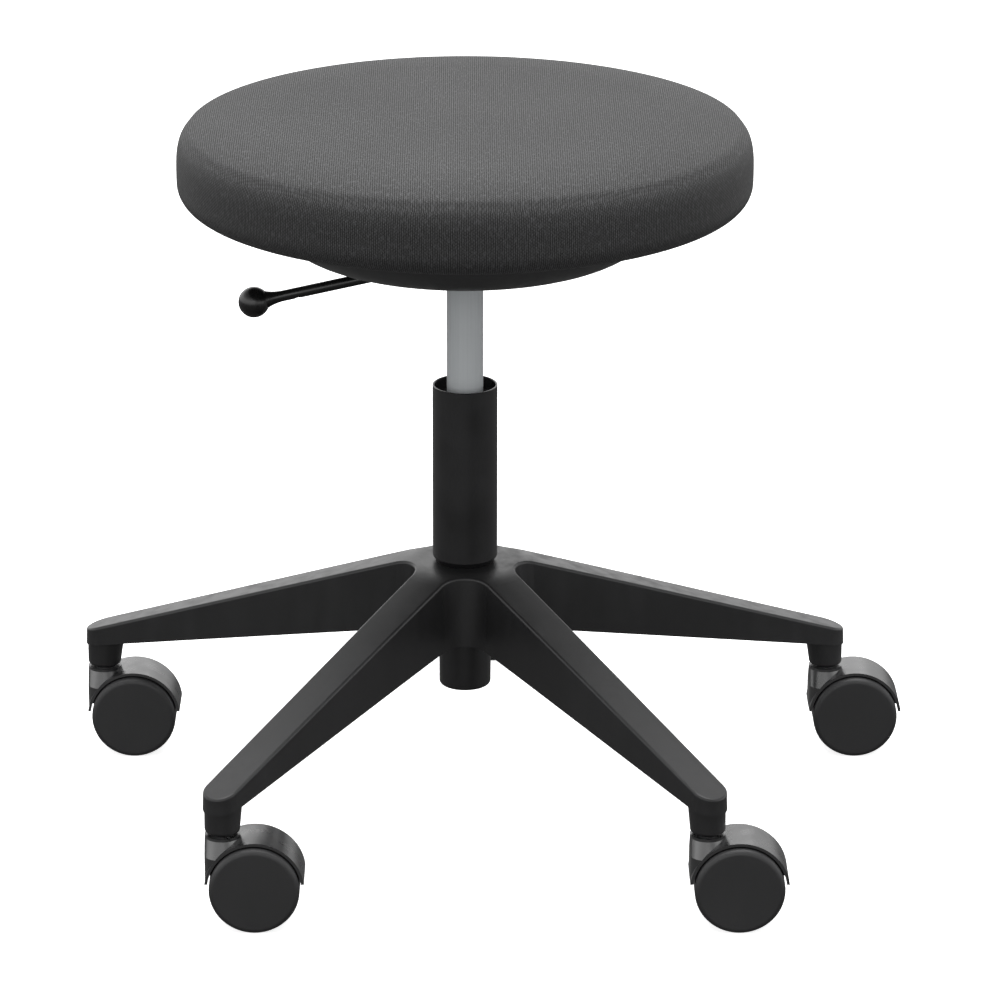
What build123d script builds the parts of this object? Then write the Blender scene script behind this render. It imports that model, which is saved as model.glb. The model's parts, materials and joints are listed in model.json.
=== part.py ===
from build123d import *
from math import acos, atan, cos, radians, sin, tan
import os

# Adjustable swivel stool. Millimetres, +Z up, origin on the column axis at floor level.
# The lever points to -X. The casters all trail to +X.

# ---- overall sizes ------------------------------------------------------------------------
SEAT_HEIGHT = 551.2
SEAT_R = 217.6
STEM_CIRCLE_R = 304.0
WHEEL_R = 33.5
TUBE_R = 25.0
CYLINDER_R = 14.0

# ---- fits ---------------------------------------------------------------------------------
RUNNING_FIT = 0.06
SOCKET_CLEARANCE = 0.05

# ---- casters ------------------------------------------------------------------------------
CASTER_TRAIL = 23.6
WHEEL_OUTER_Y = 24.0
WHEEL_EDGE = 4.0
WHEEL_INNER_EDGE = 0.8
WHEEL_RIM = 5.0
WHEEL_FACE = 3.0
WHEEL_HUB_R = 7.5
WEB_THICKNESS = 4.4
WEB_GAP = 0.8
WEB_BOSS_R = 11.0
HOOD_GAP = 1.2
HOOD_WALL = 2.2
HOOD_HALF_WIDTH = 19.0
HOOD_END_RISE = 4.2
POST_GAP = 1.5
POST_STRAIGHT = 2.0
POST_FLARE = 12.0
POST_CORNER_R = 11.0
POST_ROUND_SLACK = 0.05
AXLE_R = 3.0
AXLE_LENGTH = 41.0

# ---- stem sockets and stems ---------------------------------------------------------------
BOSS_OVER_WHEEL = 5.5
BOSS_R = 13.15
BOSS_EDGE_R = 3.0
BOSS_LEAN = 3.5
STEM_R = 5.5
STEM_LENGTH = 23.5
STEM_TOP_GAP = 1.0
STEM_FLANGE_R = 7.5
STEM_FLANGE_THICKNESS = 1.1
STEM_JOURNAL_R = 4.0
STEM_JOURNAL_LENGTH = 10.0
GRIP_RING_RISE = 15.5
GRIP_RING_WIDTH = 2.0
GRIP_RING_PROUD = 0.5
STEM_GROOVE_DEPTH = 0.6
BOSS_BOTTOM_Z = 2 * WHEEL_R + BOSS_OVER_WHEEL
STEM_TOP_Z = BOSS_BOTTOM_Z + STEM_LENGTH
GRIP_RING_Z = BOSS_BOTTOM_Z + GRIP_RING_RISE
GRIP_RING_R = STEM_R + GRIP_RING_PROUD

# ---- base ---------------------------------------------------------------------------------
ARM_COUNT = 5
FIRST_ARM_DEG = 18.0
HUB_FLAT_R = 45.0
HUB_RISE = 123.0
HUB_HEIGHT = 56.2
TIP_RISE = 30.0
TIP_DEPTH = 10.1
ARM_ROOT_HALF_WIDTH = 20.0
ARM_TIP_R = 14.3
ARM_DRAFT_DEG = 1.8
CROTCH_R = 18.4
CROWN_BLEND_R = 60.0
UPRIGHT = 0.5
ARM_EDGE_R = 2.0
ARM_SKIN = 4.0
RIB_THICKNESS = 2.5
RIB_COUNT = 5
HUB_WALL = 6.4
HUB_TOP_Z = BOSS_BOTTOM_Z + HUB_RISE
HUB_BOTTOM_Z = HUB_TOP_Z - HUB_HEIGHT
TIP_TOP_Z = BOSS_BOTTOM_Z + TIP_RISE
TIP_BOTTOM_Z = TIP_TOP_Z - TIP_DEPTH
ARM_PLAN_Z = TIP_BOTTOM_Z - ARM_SKIN
ARM_REACH = STEM_CIRCLE_R + ARM_TIP_R
CROWN_R = ARM_REACH + 2 * ARM_TIP_R

# ---- stand tube ---------------------------------------------------------------------------
TUBE_WALL = 1.5
TUBE_RISE = 143.0
TUBE_RIM_CHAMFER = 0.4
SHOULDER_SINK = 2.5
SHOULDER_HEIGHT = 7.0
TAPER_LENGTH = 100.0
TAPER_TOP_R = 20.6
TAPER_BOTTOM_R = 20.0
TAPER_WALL = 2.0
TUBE_LIP_WIDTH = 6.0
TUBE_LIP_THICKNESS = 2.5
TUBE_END_ROUND = 2.4
BUSH_LENGTH = 100.0
BUSH_RECESS = 10.0
BUSH_LEAD = 1.2
TUBE_TOP_Z = HUB_TOP_Z + TUBE_RISE
SHOULDER_BOTTOM_Z = HUB_TOP_Z - SHOULDER_SINK
SHOULDER_TOP_Z = SHOULDER_BOTTOM_Z + SHOULDER_HEIGHT
TUBE_BOTTOM_Z = SHOULDER_BOTTOM_Z - TAPER_LENGTH
TUBE_LIP_R = TAPER_BOTTOM_R - TUBE_LIP_WIDTH
HUB_BARREL_R = TAPER_TOP_R + HUB_WALL

# ---- thrust bearing and foot of the column ------------------------------------------------
END_PLATE_THICKNESS = 3.0
WASHER_THICKNESS = 1.5
WASHER_R = 12.0
BEARING_BALL_R = 1.5
BALL_COUNT = 12
BALL_CIRCLE_R = 8.8
BALL_PLAY = 0.08
CAGE_THICKNESS = 1.4
CAGE_WEB = 0.9
BUFFER_HEIGHT = 10.0
BUFFER_R = 11.0
CLIP_R = 8.0
CLIP_THICKNESS = 1.2
CLIP_GROOVE_DEPTH = 0.8
CLIP_GAP_WIDTH = 4.0
CLIP_DROP = 0.5
END_PLATE_Z = TUBE_BOTTOM_Z + TUBE_LIP_THICKNESS
LOWER_WASHER_Z = END_PLATE_Z + END_PLATE_THICKNESS
BALL_Z = LOWER_WASHER_Z + WASHER_THICKNESS + BALL_PLAY + BEARING_BALL_R
UPPER_WASHER_Z = BALL_Z + BEARING_BALL_R + BALL_PLAY / 2
BUFFER_Z = UPPER_WASHER_Z + WASHER_THICKNESS
CLIP_Z = END_PLATE_Z - CLIP_DROP - CLIP_THICKNESS

# ---- seat ---------------------------------------------------------------------------------
CUSHION_HEIGHT = 63.7
SEAT_FOOT_ROUND = 15.0
SEAT_SIDE_RISE = 32.5
SEAT_EDGE_INSET = 7.0
SEAT_EDGE_DROP = 11.0
SEAT_RIM_INSET = 23.6
SEAT_RIM_DROP = 3.7
SEAT_CROWN_INSET = 62.6
FABRIC = 1.2
HEM_GAP = 1.5
BOARD_EDGE_GAP = 1.0
BOARD_THICKNESS = 12.0
SEAT_BOTTOM_Z = SEAT_HEIGHT - CUSHION_HEIGHT
SEAT_FOOT_R = SEAT_R - SEAT_FOOT_ROUND
BOARD_R = SEAT_FOOT_R - BOARD_EDGE_GAP
BOARD_Z = SEAT_BOTTOM_Z + FABRIC

# ---- seat plate ---------------------------------------------------------------------------
PLATE_SIZE = 150.0
PLATE_CORNER_R = 14.0
PLATE_THICKNESS = 3.0
PAN_FLOOR_R = 46.0
PAN_RIM_R = 55.0
PAN_DEPTH = 22.0
SOCKET_WALL = 6.0
SOCKET_DROP = 44.0
LUG_THICKNESS = 3.0
LUG_WIDTH = 14.0
LUG_GAP = 0.6
LUG_TOP_GAP = 1.0
SCREW_SPACING = 120.0
PLATE_SCREW_R = 4.0
PLATE_SCREW_HEAD_R = 7.0
PLATE_SCREW_HEAD = 4.5
TEE_NUT_R = 5.5
TEE_NUT_FLANGE_R = 11.0
TEE_NUT_FLANGE = 1.6
PLATE_Z = BOARD_Z - PLATE_THICKNESS
PAN_FLOOR_Z = BOARD_Z - PAN_DEPTH
PAN_FLOOR_TOP_Z = PAN_FLOOR_Z + PLATE_THICKNESS
SOCKET_BOTTOM_Z = BOARD_Z - SOCKET_DROP
SOCKET_R = CYLINDER_R + SOCKET_WALL

# ---- gas spring ---------------------------------------------------------------------------
CYLINDER_WALL = 1.5
CYLINDER_START = 89.0
CYLINDER_TOP_DROP = 18.0
CYLINDER_CAP = 2.0
CONE_TAPER = 0.7
VALVE_BORE_STEP = 1.0
VALVE_BORE_DEPTH = 30.0
VALVE_BODY_HEIGHT = 18.0
ROD_R = 5.0
ROD_END_DROP = 1.0
ROD_END_CHAMFER = 0.5
PISTON_RISE = 191.0
PISTON_HEIGHT = 12.0
PISTON_CLEARANCE = 0.1
SEAL_SECTION = 2.0
GLAND_HEIGHT = 14.0
ROD_SEAL_HEIGHT = 5.0
CYLINDER_LIP = 2.0
CYLINDER_LIP_R = 9.0
CYLINDER_EDGE = 1.0
CYLINDER_BOTTOM_Z = TUBE_BOTTOM_Z + CYLINDER_START
CYLINDER_TOP_Z = BOARD_Z - CYLINDER_TOP_DROP
CYLINDER_BORE_R = CYLINDER_R - CYLINDER_WALL
CONE_TOP_R = CYLINDER_R - CONE_TAPER
VALVE_BORE_R = CYLINDER_BORE_R - VALVE_BORE_STEP
VALVE_BORE_BOTTOM_Z = CYLINDER_TOP_Z - VALVE_BORE_DEPTH
GLAND_Z = CYLINDER_BOTTOM_Z + CYLINDER_LIP
ROD_SEAL_Z = GLAND_Z + GLAND_HEIGHT
ROD_BOTTOM_Z = TUBE_BOTTOM_Z - ROD_END_DROP
PISTON_TOP_Z = TUBE_BOTTOM_Z + PISTON_RISE
PISTON_R = CYLINDER_BORE_R - PISTON_CLEARANCE
PISTON_SEAL_Z = PISTON_TOP_Z - PISTON_HEIGHT / 2 - SEAL_SECTION / 2

# ---- under cover --------------------------------------------------------------------------
COVER_R = 156.6
COVER_FLAT_R = 104.0
COVER_DEPTH = 41.7
COVER_WALL = 2.5
COVER_HOLE_GAP = 2.0
COVER_SLOT_START = 40.0
COVER_SLOT_END = 68.0
COVER_SLOT_WIDTH = 12.0
COVER_SCREW_COUNT = 3
COVER_SCREW_CIRCLE_R = 96.0
COVER_POST_R = 5.0
COVER_POST_BASE_R = 6.8
COVER_POST_BASE_HEIGHT = 11.0
COVER_SCREW_R = 2.0
COVER_SCREW_HEAD_R = 4.0
COVER_SCREW_HEAD = 2.5
COVER_SCREW_SINK = 5.0
COVER_SCREW_BITE = 10.0
CROSS_LENGTH = 4.6
CROSS_WIDTH = 1.1
CROSS_DEPTH = 1.5
COVER_BOTTOM_Z = BOARD_Z - COVER_DEPTH
HEM_R = COVER_R + HEM_GAP

# ---- lever --------------------------------------------------------------------------------
PIVOT_X = -32.0
PIVOT_DROP = 9.4
LEVER_ROD_R = 3.0
LEVER_TIP_X = 2.5
LEVER_BEND_X = -44.5
PAN_SLOT_GAP = 1.5
LEVER_ELBOW_X = -57.0
LEVER_BEND_R = 9.0
GRIP_LINE_DROP = 48.7
GRIP_LINE_SLOPE = 0.2235
GRIP_START_X = -66.0
GRIP_R = 4.2
GRIP_START_R = 4.7
GRIP_START_TAPER = 6.0
GRIP_NECK_X = -138.0
NECK_TURN = 0.56
GRIP_NOTCH_X = -131.0
GRIP_NOTCH_R = 5.3
GRIP_NOTCH_DEPTH = 1.1
KNOB_X = -160.8
KNOB_R = 11.9
LEVER_EYE_R = 5.6
LEVER_EYE_WIDTH = 12.0
LEVER_PIN_R = 2.5
LEVER_PIN_LENGTH = 22.0
VALVE_PIN_R = 2.5
VALVE_PIN_LENGTH = 14.0
VALVE_PIN_GAP = 0.1
VALVE_PIN_TRAVEL = 4.6
PIVOT_Z = BOARD_Z - PIVOT_DROP
VALVE_PIN_TOP_Z = PIVOT_Z - LEVER_ROD_R - VALVE_PIN_GAP
VALVE_PIN_Z = VALVE_PIN_TOP_Z - VALVE_PIN_LENGTH
LUG_Y = LEVER_EYE_WIDTH / 2 + LUG_GAP + LUG_THICKNESS / 2

ARM_ANGLES = [FIRST_ARM_DEG + 360.0 / ARM_COUNT * index for index in range(ARM_COUNT)]


def save(piece, name):
    """Label a finished piece and write it to its own file."""
    piece.part.label = name
    export_step(piece.part, f"parts/{name}.step")


def turned(outline, axis=Axis.Z):
    """A solid turned about the column axis from a closed (radius, height) outline."""
    with BuildPart() as piece:
        with BuildSketch(Plane.XZ):
            with BuildLine():
                Polyline(*outline, close=True)
            make_face()
        revolve(axis=axis)
    return piece


def ring(inner_r, outer_r, bottom_z, top_z):
    """A plain ring about the column axis."""
    return turned([(inner_r, bottom_z), (outer_r, bottom_z), (outer_r, top_z), (inner_r, top_z)])


def spot_at(radius, angle_deg):
    """The plan position at a radius and an angle about the column axis."""
    return (radius * cos(radians(angle_deg)), radius * sin(radians(angle_deg)))


# ---- stand tube ---------------------------------------------------------------------------
def taper_r(z):
    """Outer radius of the stand tube's tapered end at a height."""
    share = (z - TUBE_BOTTOM_Z) / (SHOULDER_BOTTOM_Z - TUBE_BOTTOM_Z)
    return TAPER_BOTTOM_R + share * (TAPER_TOP_R - TAPER_BOTTOM_R)


def make_stand_tube():
    """Stand tube: drawn tube with a shoulder, a tapered end and a lip turned in at the foot."""
    rim = TUBE_RIM_CHAMFER
    bore_r = TUBE_R - TUBE_WALL
    lip_top_z = TUBE_BOTTOM_Z + TUBE_LIP_THICKNESS
    with BuildPart() as tube:
        with BuildSketch(Plane.XZ):
            with BuildLine():
                Polyline(
                    (TUBE_LIP_R, TUBE_BOTTOM_Z),
                    (TAPER_BOTTOM_R, TUBE_BOTTOM_Z),
                    (TAPER_TOP_R, SHOULDER_BOTTOM_Z),
                    (TUBE_R, SHOULDER_TOP_Z),
                    (TUBE_R, TUBE_TOP_Z - rim),
                    (TUBE_R - rim, TUBE_TOP_Z),
                    (bore_r + rim, TUBE_TOP_Z),
                    (bore_r, TUBE_TOP_Z - rim),
                    (bore_r, SHOULDER_TOP_Z + TUBE_WALL / 2),
                    (TAPER_TOP_R - TAPER_WALL, SHOULDER_BOTTOM_Z + TAPER_WALL / 2),
                    (taper_r(lip_top_z) - TAPER_WALL, lip_top_z),
                    (TUBE_LIP_R, lip_top_z),
                    close=True,
                )
            make_face()
        revolve(axis=Axis.Z)
        foot = tube.edges().filter_by(GeomType.CIRCLE).group_by(Axis.Z)[0].sort_by(SortBy.RADIUS)[-1]
        fillet(foot, radius=TUBE_END_ROUND)
    return tube


def make_guide_bush():
    """Plastic bush in the tube's mouth that guides the gas cylinder."""
    top_z = TUBE_TOP_Z - BUSH_RECESS
    bottom_z = top_z - BUSH_LENGTH
    inner_r = CYLINDER_R + RUNNING_FIT
    outer_r = TUBE_R - TUBE_WALL
    return turned(
        [
            (inner_r, bottom_z + BUSH_LEAD),
            (inner_r + BUSH_LEAD, bottom_z),
            (outer_r, bottom_z),
            (outer_r, top_z),
            (inner_r + BUSH_LEAD, top_z),
            (inner_r, top_z - BUSH_LEAD),
        ]
    )


# ---- base star ----------------------------------------------------------------------------
def arm_plan(inset):
    """Plan of one arm along +X: a hull from the hub to the stem socket."""
    with BuildSketch() as plan:
        Circle(ARM_ROOT_HALF_WIDTH - inset)
        with Locations((STEM_CIRCLE_R, 0)):
            Circle(ARM_TIP_R - inset)
        make_hull()
    return plan.sketch


def star_plan(inset):
    """Plan of all the arms, with round crotches between them."""
    arm = arm_plan(inset)
    with BuildSketch() as plan:
        with PolarLocations(0, ARM_COUNT, start_angle=FIRST_ARM_DEG):
            add(arm)
        crotches = plan.vertices().sort_by_distance((0, 0))[:ARM_COUNT]
        fillet(crotches, radius=CROTCH_R + inset)
    return plan.sketch


def crown_slope():
    """Fall of the arms' top for each millimetre of radius."""
    return (HUB_TOP_Z - TIP_TOP_Z) / (ARM_REACH - HUB_FLAT_R)


def make_crown(drop):
    """Everything below the arms' conical top and above their conical underside."""
    slope = crown_slope()
    half_turn = tan(atan(slope) / 2)
    start_r = HUB_FLAT_R - CROWN_BLEND_R * half_turn
    top_z = HUB_TOP_Z - drop
    edge_z = top_z - slope * (CROWN_R - HUB_FLAT_R)
    floor_slope = (HUB_BOTTOM_Z - TIP_BOTTOM_Z) / (STEM_CIRCLE_R - HUB_FLAT_R)
    floor_edge_z = HUB_BOTTOM_Z - floor_slope * (CROWN_R - HUB_FLAT_R)
    end_r = HUB_FLAT_R + CROWN_BLEND_R * half_turn * cos(atan(slope))
    end_z = top_z - CROWN_BLEND_R * half_turn * sin(atan(slope))
    with BuildPart() as crown:
        with BuildSketch(Plane.XZ):
            with BuildLine():
                Line((0, top_z), (start_r, top_z))
                TangentArc((start_r, top_z), (end_r, end_z), tangent=(1, 0))
                Polyline(
                    (end_r, end_z),
                    (CROWN_R, edge_z),
                    (CROWN_R, floor_edge_z),
                    (HUB_FLAT_R, HUB_BOTTOM_Z),
                    (0, HUB_BOTTOM_Z),
                    (0, top_z),
                )
            make_face()
        revolve(axis=Axis.Z)
    return crown


def make_boss():
    """One stem socket boss along +X: upright outside, leaning in towards the hub inside."""
    boss_top_z = TIP_BOTTOM_Z + ARM_SKIN
    round_top_z = BOSS_BOTTOM_Z + BOSS_EDGE_R
    with BuildPart() as boss:
        with BuildSketch(Plane((STEM_CIRCLE_R, 0, BOSS_BOTTOM_Z))):
            Circle(BOSS_R)
        extrude(amount=boss_top_z - BOSS_BOTTOM_Z)
        fillet(boss.edges().group_by(Axis.Z)[0], radius=BOSS_EDGE_R)
        with BuildSketch(Plane((STEM_CIRCLE_R, 0, round_top_z))):
            Circle(BOSS_R)
        with BuildSketch(Plane((STEM_CIRCLE_R - BOSS_LEAN, 0, boss_top_z))):
            Circle(BOSS_R)
        loft()
    return boss


def make_socket_bore():
    """The space that a stem and its grip ring take in a boss."""
    fit_r = STEM_R + SOCKET_CLEARANCE
    return turned(
        [
            (0, BOSS_BOTTOM_Z - 1),
            (fit_r, BOSS_BOTTOM_Z - 1),
            (fit_r, GRIP_RING_Z),
            (GRIP_RING_R, GRIP_RING_Z),
            (GRIP_RING_R, GRIP_RING_Z + GRIP_RING_WIDTH),
            (fit_r, GRIP_RING_Z + GRIP_RING_WIDTH),
            (fit_r, STEM_TOP_Z + STEM_TOP_GAP),
            (0, STEM_TOP_Z + STEM_TOP_GAP),
        ]
    )


def make_drafted_star(inset):
    """The arms' plan pulled straight up, with drafted sides."""
    plan = star_plan(inset)
    with BuildPart() as block:
        with BuildSketch(Plane.XY.offset(ARM_PLAN_Z)):
            add(plan)
        extrude(amount=HUB_TOP_Z + 1 - ARM_PLAN_Z)
        sides = [f for f in block.faces() if abs(f.normal_at().Z) < UPRIGHT]
        draft(sides, neutral_plane=Plane.XY.offset(ARM_PLAN_Z), angle=ARM_DRAFT_DEG)
    return block


def make_arm_pockets():
    """The hollow under the arms, with the hub barrel, the bosses and the ribs left standing."""
    block = make_drafted_star(ARM_SKIN)
    crown = make_crown(ARM_SKIN)
    rib_step = (STEM_CIRCLE_R - HUB_FLAT_R) / (RIB_COUNT + 1)
    with BuildPart() as pockets:
        add(block.part)
        add(crown.part, mode=Mode.INTERSECT)
        with BuildSketch(Plane.XY.offset(ARM_PLAN_Z)):
            Circle(HUB_BARREL_R)
            with PolarLocations(STEM_CIRCLE_R, ARM_COUNT, start_angle=FIRST_ARM_DEG):
                Circle(BOSS_R)
            for index in range(1, RIB_COUNT + 1):
                rib_r = HUB_FLAT_R + rib_step * index
                with PolarLocations(rib_r, ARM_COUNT, start_angle=FIRST_ARM_DEG):
                    Rectangle(RIB_THICKNESS, 3 * ARM_ROOT_HALF_WIDTH)
        extrude(amount=HUB_TOP_Z - ARM_PLAN_Z, mode=Mode.SUBTRACT)
    return pockets


def make_base_star(tube_fill):
    """Five-arm base: drafted arms, conical top, rounded edges, hollow underneath."""
    block = make_drafted_star(0)
    crown = make_crown(0)
    boss = make_boss()
    bore = make_socket_bore()
    pockets = make_arm_pockets()
    with BuildPart() as star:
        add(block.part)
        add(crown.part, mode=Mode.INTERSECT)
        rim = [e for e in star.edges() if e.center().Z > top_limit_z(e.center())]
        fillet([e for e in rim if e.geom_type != GeomType.CIRCLE], radius=ARM_EDGE_R)
        add(pockets.part, mode=Mode.SUBTRACT)
        with PolarLocations(0, ARM_COUNT, start_angle=FIRST_ARM_DEG):
            add(boss.part)
        with PolarLocations(STEM_CIRCLE_R, ARM_COUNT, start_angle=FIRST_ARM_DEG):
            add(bore.part, mode=Mode.SUBTRACT)
        add(tube_fill.part, mode=Mode.SUBTRACT)
    return star


def top_limit_z(spot):
    """A height a little under the arms' top at a place, to tell the top edges from the rest."""
    radius = Vector(spot.X, spot.Y).length
    return HUB_TOP_Z - crown_slope() * max(radius - HUB_FLAT_R, 0) - ARM_SKIN


def make_tube_fill():
    """The outside of the stand tube as one solid, for cutting its seat in the hub."""
    return turned(
        [
            (0, TUBE_BOTTOM_Z),
            (TAPER_BOTTOM_R, TUBE_BOTTOM_Z),
            (TAPER_TOP_R, SHOULDER_BOTTOM_Z),
            (TUBE_R, SHOULDER_TOP_Z),
            (0, SHOULDER_TOP_Z),
        ]
    )


# ---- stems --------------------------------------------------------------------------------
def make_stem():
    """One caster stem about the column axis, to be set on the stem circle."""
    flange_bottom_z = BOSS_BOTTOM_Z - STEM_FLANGE_THICKNESS
    groove_r = STEM_R - STEM_GROOVE_DEPTH
    return turned(
        [
            (0, flange_bottom_z - STEM_JOURNAL_LENGTH),
            (STEM_JOURNAL_R, flange_bottom_z - STEM_JOURNAL_LENGTH),
            (STEM_JOURNAL_R, flange_bottom_z),
            (STEM_FLANGE_R, flange_bottom_z),
            (STEM_FLANGE_R, BOSS_BOTTOM_Z),
            (STEM_R, BOSS_BOTTOM_Z),
            (STEM_R, GRIP_RING_Z),
            (groove_r, GRIP_RING_Z),
            (groove_r, GRIP_RING_Z + GRIP_RING_WIDTH),
            (STEM_R, GRIP_RING_Z + GRIP_RING_WIDTH),
            (STEM_R, STEM_TOP_Z - STEM_GROOVE_DEPTH),
            (STEM_R - STEM_GROOVE_DEPTH, STEM_TOP_Z),
            (0, STEM_TOP_Z),
        ]
    )


def make_grip_ring():
    """Spring ring in a stem's groove that holds it in its socket."""
    return ring(STEM_R - STEM_GROOVE_DEPTH, GRIP_RING_R, GRIP_RING_Z, GRIP_RING_Z + GRIP_RING_WIDTH)


def on_stem_circle(pattern):
    """Copies of a pattern at every stem."""
    with BuildPart() as group:
        with PolarLocations(STEM_CIRCLE_R, ARM_COUNT, start_angle=FIRST_ARM_DEG):
            add(pattern.part)
    return group


# ---- gas spring ---------------------------------------------------------------------------
def cone_r(z):
    """Outer radius of the cylinder's cone at a height inside the socket."""
    share = (z - SOCKET_BOTTOM_Z) / (CYLINDER_TOP_Z - SOCKET_BOTTOM_Z)
    return CYLINDER_R + share * (CONE_TOP_R - CYLINDER_R)


def make_gas_cylinder():
    """Gas cylinder: tube with a lip at the foot and a capped cone at the top."""
    cap_z = CYLINDER_TOP_Z - CYLINDER_CAP
    pin_hole_r = VALVE_PIN_R + 2 * RUNNING_FIT
    return turned(
        [
            (CYLINDER_LIP_R, CYLINDER_BOTTOM_Z),
            (CYLINDER_R - CYLINDER_EDGE, CYLINDER_BOTTOM_Z),
            (CYLINDER_R, CYLINDER_BOTTOM_Z + CYLINDER_EDGE),
            (CYLINDER_R, SOCKET_BOTTOM_Z),
            (CONE_TOP_R, CYLINDER_TOP_Z),
            (pin_hole_r, CYLINDER_TOP_Z),
            (pin_hole_r, cap_z),
            (VALVE_BORE_R, cap_z),
            (VALVE_BORE_R, VALVE_BORE_BOTTOM_Z),
            (CYLINDER_BORE_R, VALVE_BORE_BOTTOM_Z),
            (CYLINDER_BORE_R, GLAND_Z),
            (CYLINDER_LIP_R, GLAND_Z),
        ]
    )


def make_valve_body():
    """Valve body in the cylinder's head, bored for the valve pin."""
    top_z = CYLINDER_TOP_Z - CYLINDER_CAP
    bottom_z = top_z - VALVE_BODY_HEIGHT
    hole_r = VALVE_PIN_R + RUNNING_FIT
    floor_z = VALVE_PIN_Z - VALVE_PIN_TRAVEL
    return turned(
        [
            (0, bottom_z),
            (VALVE_BORE_R, bottom_z),
            (VALVE_BORE_R, top_z),
            (hole_r, top_z),
            (hole_r, floor_z),
            (0, floor_z),
        ]
    )


def make_piston_rod():
    """Piston rod, grooved at the foot for its clip."""
    clip_top_z = CLIP_Z + CLIP_THICKNESS
    groove_r = ROD_R - CLIP_GROOVE_DEPTH
    return turned(
        [
            (0, ROD_BOTTOM_Z),
            (ROD_R - ROD_END_CHAMFER, ROD_BOTTOM_Z),
            (ROD_R, ROD_BOTTOM_Z + ROD_END_CHAMFER),
            (ROD_R, CLIP_Z),
            (groove_r, CLIP_Z),
            (groove_r, clip_top_z),
            (ROD_R, clip_top_z),
            (ROD_R, PISTON_TOP_Z),
            (0, PISTON_TOP_Z),
        ]
    )


def make_piston():
    """Piston, grooved for its seal."""
    bottom_z = PISTON_TOP_Z - PISTON_HEIGHT
    return turned(
        [
            (ROD_R, bottom_z),
            (PISTON_R, bottom_z),
            (PISTON_R, PISTON_SEAL_Z),
            (PISTON_R - SEAL_SECTION, PISTON_SEAL_Z),
            (PISTON_R - SEAL_SECTION, PISTON_SEAL_Z + SEAL_SECTION),
            (PISTON_R, PISTON_SEAL_Z + SEAL_SECTION),
            (PISTON_R, PISTON_TOP_Z),
            (ROD_R, PISTON_TOP_Z),
        ]
    )


def make_piston_seal():
    """Seal ring in the piston's groove."""
    seal_r = PISTON_R + PISTON_CLEARANCE / 2
    return ring(PISTON_R - SEAL_SECTION, seal_r, PISTON_SEAL_Z, PISTON_SEAL_Z + SEAL_SECTION)


def make_cylinder_gland():
    """Gland in the cylinder's foot that guides the rod."""
    return ring(ROD_R + RUNNING_FIT, CYLINDER_BORE_R, GLAND_Z, ROD_SEAL_Z)


def make_rod_seal():
    """Seal over the gland, round the rod."""
    return ring(ROD_R + RUNNING_FIT, CYLINDER_BORE_R, ROD_SEAL_Z, ROD_SEAL_Z + ROD_SEAL_HEIGHT)


def make_valve_pin():
    """Pin that the lever pushes down into the valve body."""
    return ring(0, VALVE_PIN_R, VALVE_PIN_Z, VALVE_PIN_TOP_Z)


# ---- foot of the column -------------------------------------------------------------------
def make_end_plate():
    """Plate on the tube's lip that carries the bearing."""
    return ring(ROD_R + RUNNING_FIT, TAPER_BOTTOM_R - TAPER_WALL, END_PLATE_Z, LOWER_WASHER_Z)


def make_lower_washer():
    """Bearing washer that stays still on the end plate."""
    return ring(ROD_R + RUNNING_FIT, WASHER_R, LOWER_WASHER_Z, LOWER_WASHER_Z + WASHER_THICKNESS)


def make_upper_washer():
    """Bearing washer that turns with the rod."""
    return ring(ROD_R, WASHER_R, UPPER_WASHER_Z, UPPER_WASHER_Z + WASHER_THICKNESS)


def make_buffer():
    """Rubber buffer over the bearing that softens the seat's lowest stop."""
    return ring(ROD_R, BUFFER_R, BUFFER_Z, BUFFER_Z + BUFFER_HEIGHT)


def make_bearing_balls():
    """Ring of bearing balls."""
    with BuildPart() as balls:
        with Locations((0, 0, BALL_Z)):
            with PolarLocations(BALL_CIRCLE_R, BALL_COUNT):
                Sphere(BEARING_BALL_R)
    return balls


def make_bearing_cage():
    """Cage that spaces the balls."""
    pocket_r = BEARING_BALL_R + RUNNING_FIT
    with BuildPart() as cage:
        with BuildSketch(Plane.XY.offset(BALL_Z - CAGE_THICKNESS / 2)):
            Circle(BALL_CIRCLE_R + BEARING_BALL_R + CAGE_WEB)
            Circle(BALL_CIRCLE_R - BEARING_BALL_R - CAGE_WEB, mode=Mode.SUBTRACT)
            with PolarLocations(BALL_CIRCLE_R, BALL_COUNT):
                Circle(pocket_r, mode=Mode.SUBTRACT)
        extrude(amount=CAGE_THICKNESS)
    return cage


def make_retaining_clip():
    """Open clip in the rod's groove."""
    with BuildPart() as clip:
        with BuildSketch(Plane.XY.offset(CLIP_Z)):
            Circle(CLIP_R)
            Circle(ROD_R - CLIP_GROOVE_DEPTH, mode=Mode.SUBTRACT)
            with Locations((CLIP_R, 0)):
                Rectangle(2 * CLIP_R, CLIP_GAP_WIDTH, mode=Mode.SUBTRACT)
        extrude(amount=CLIP_THICKNESS)
    return clip


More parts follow.
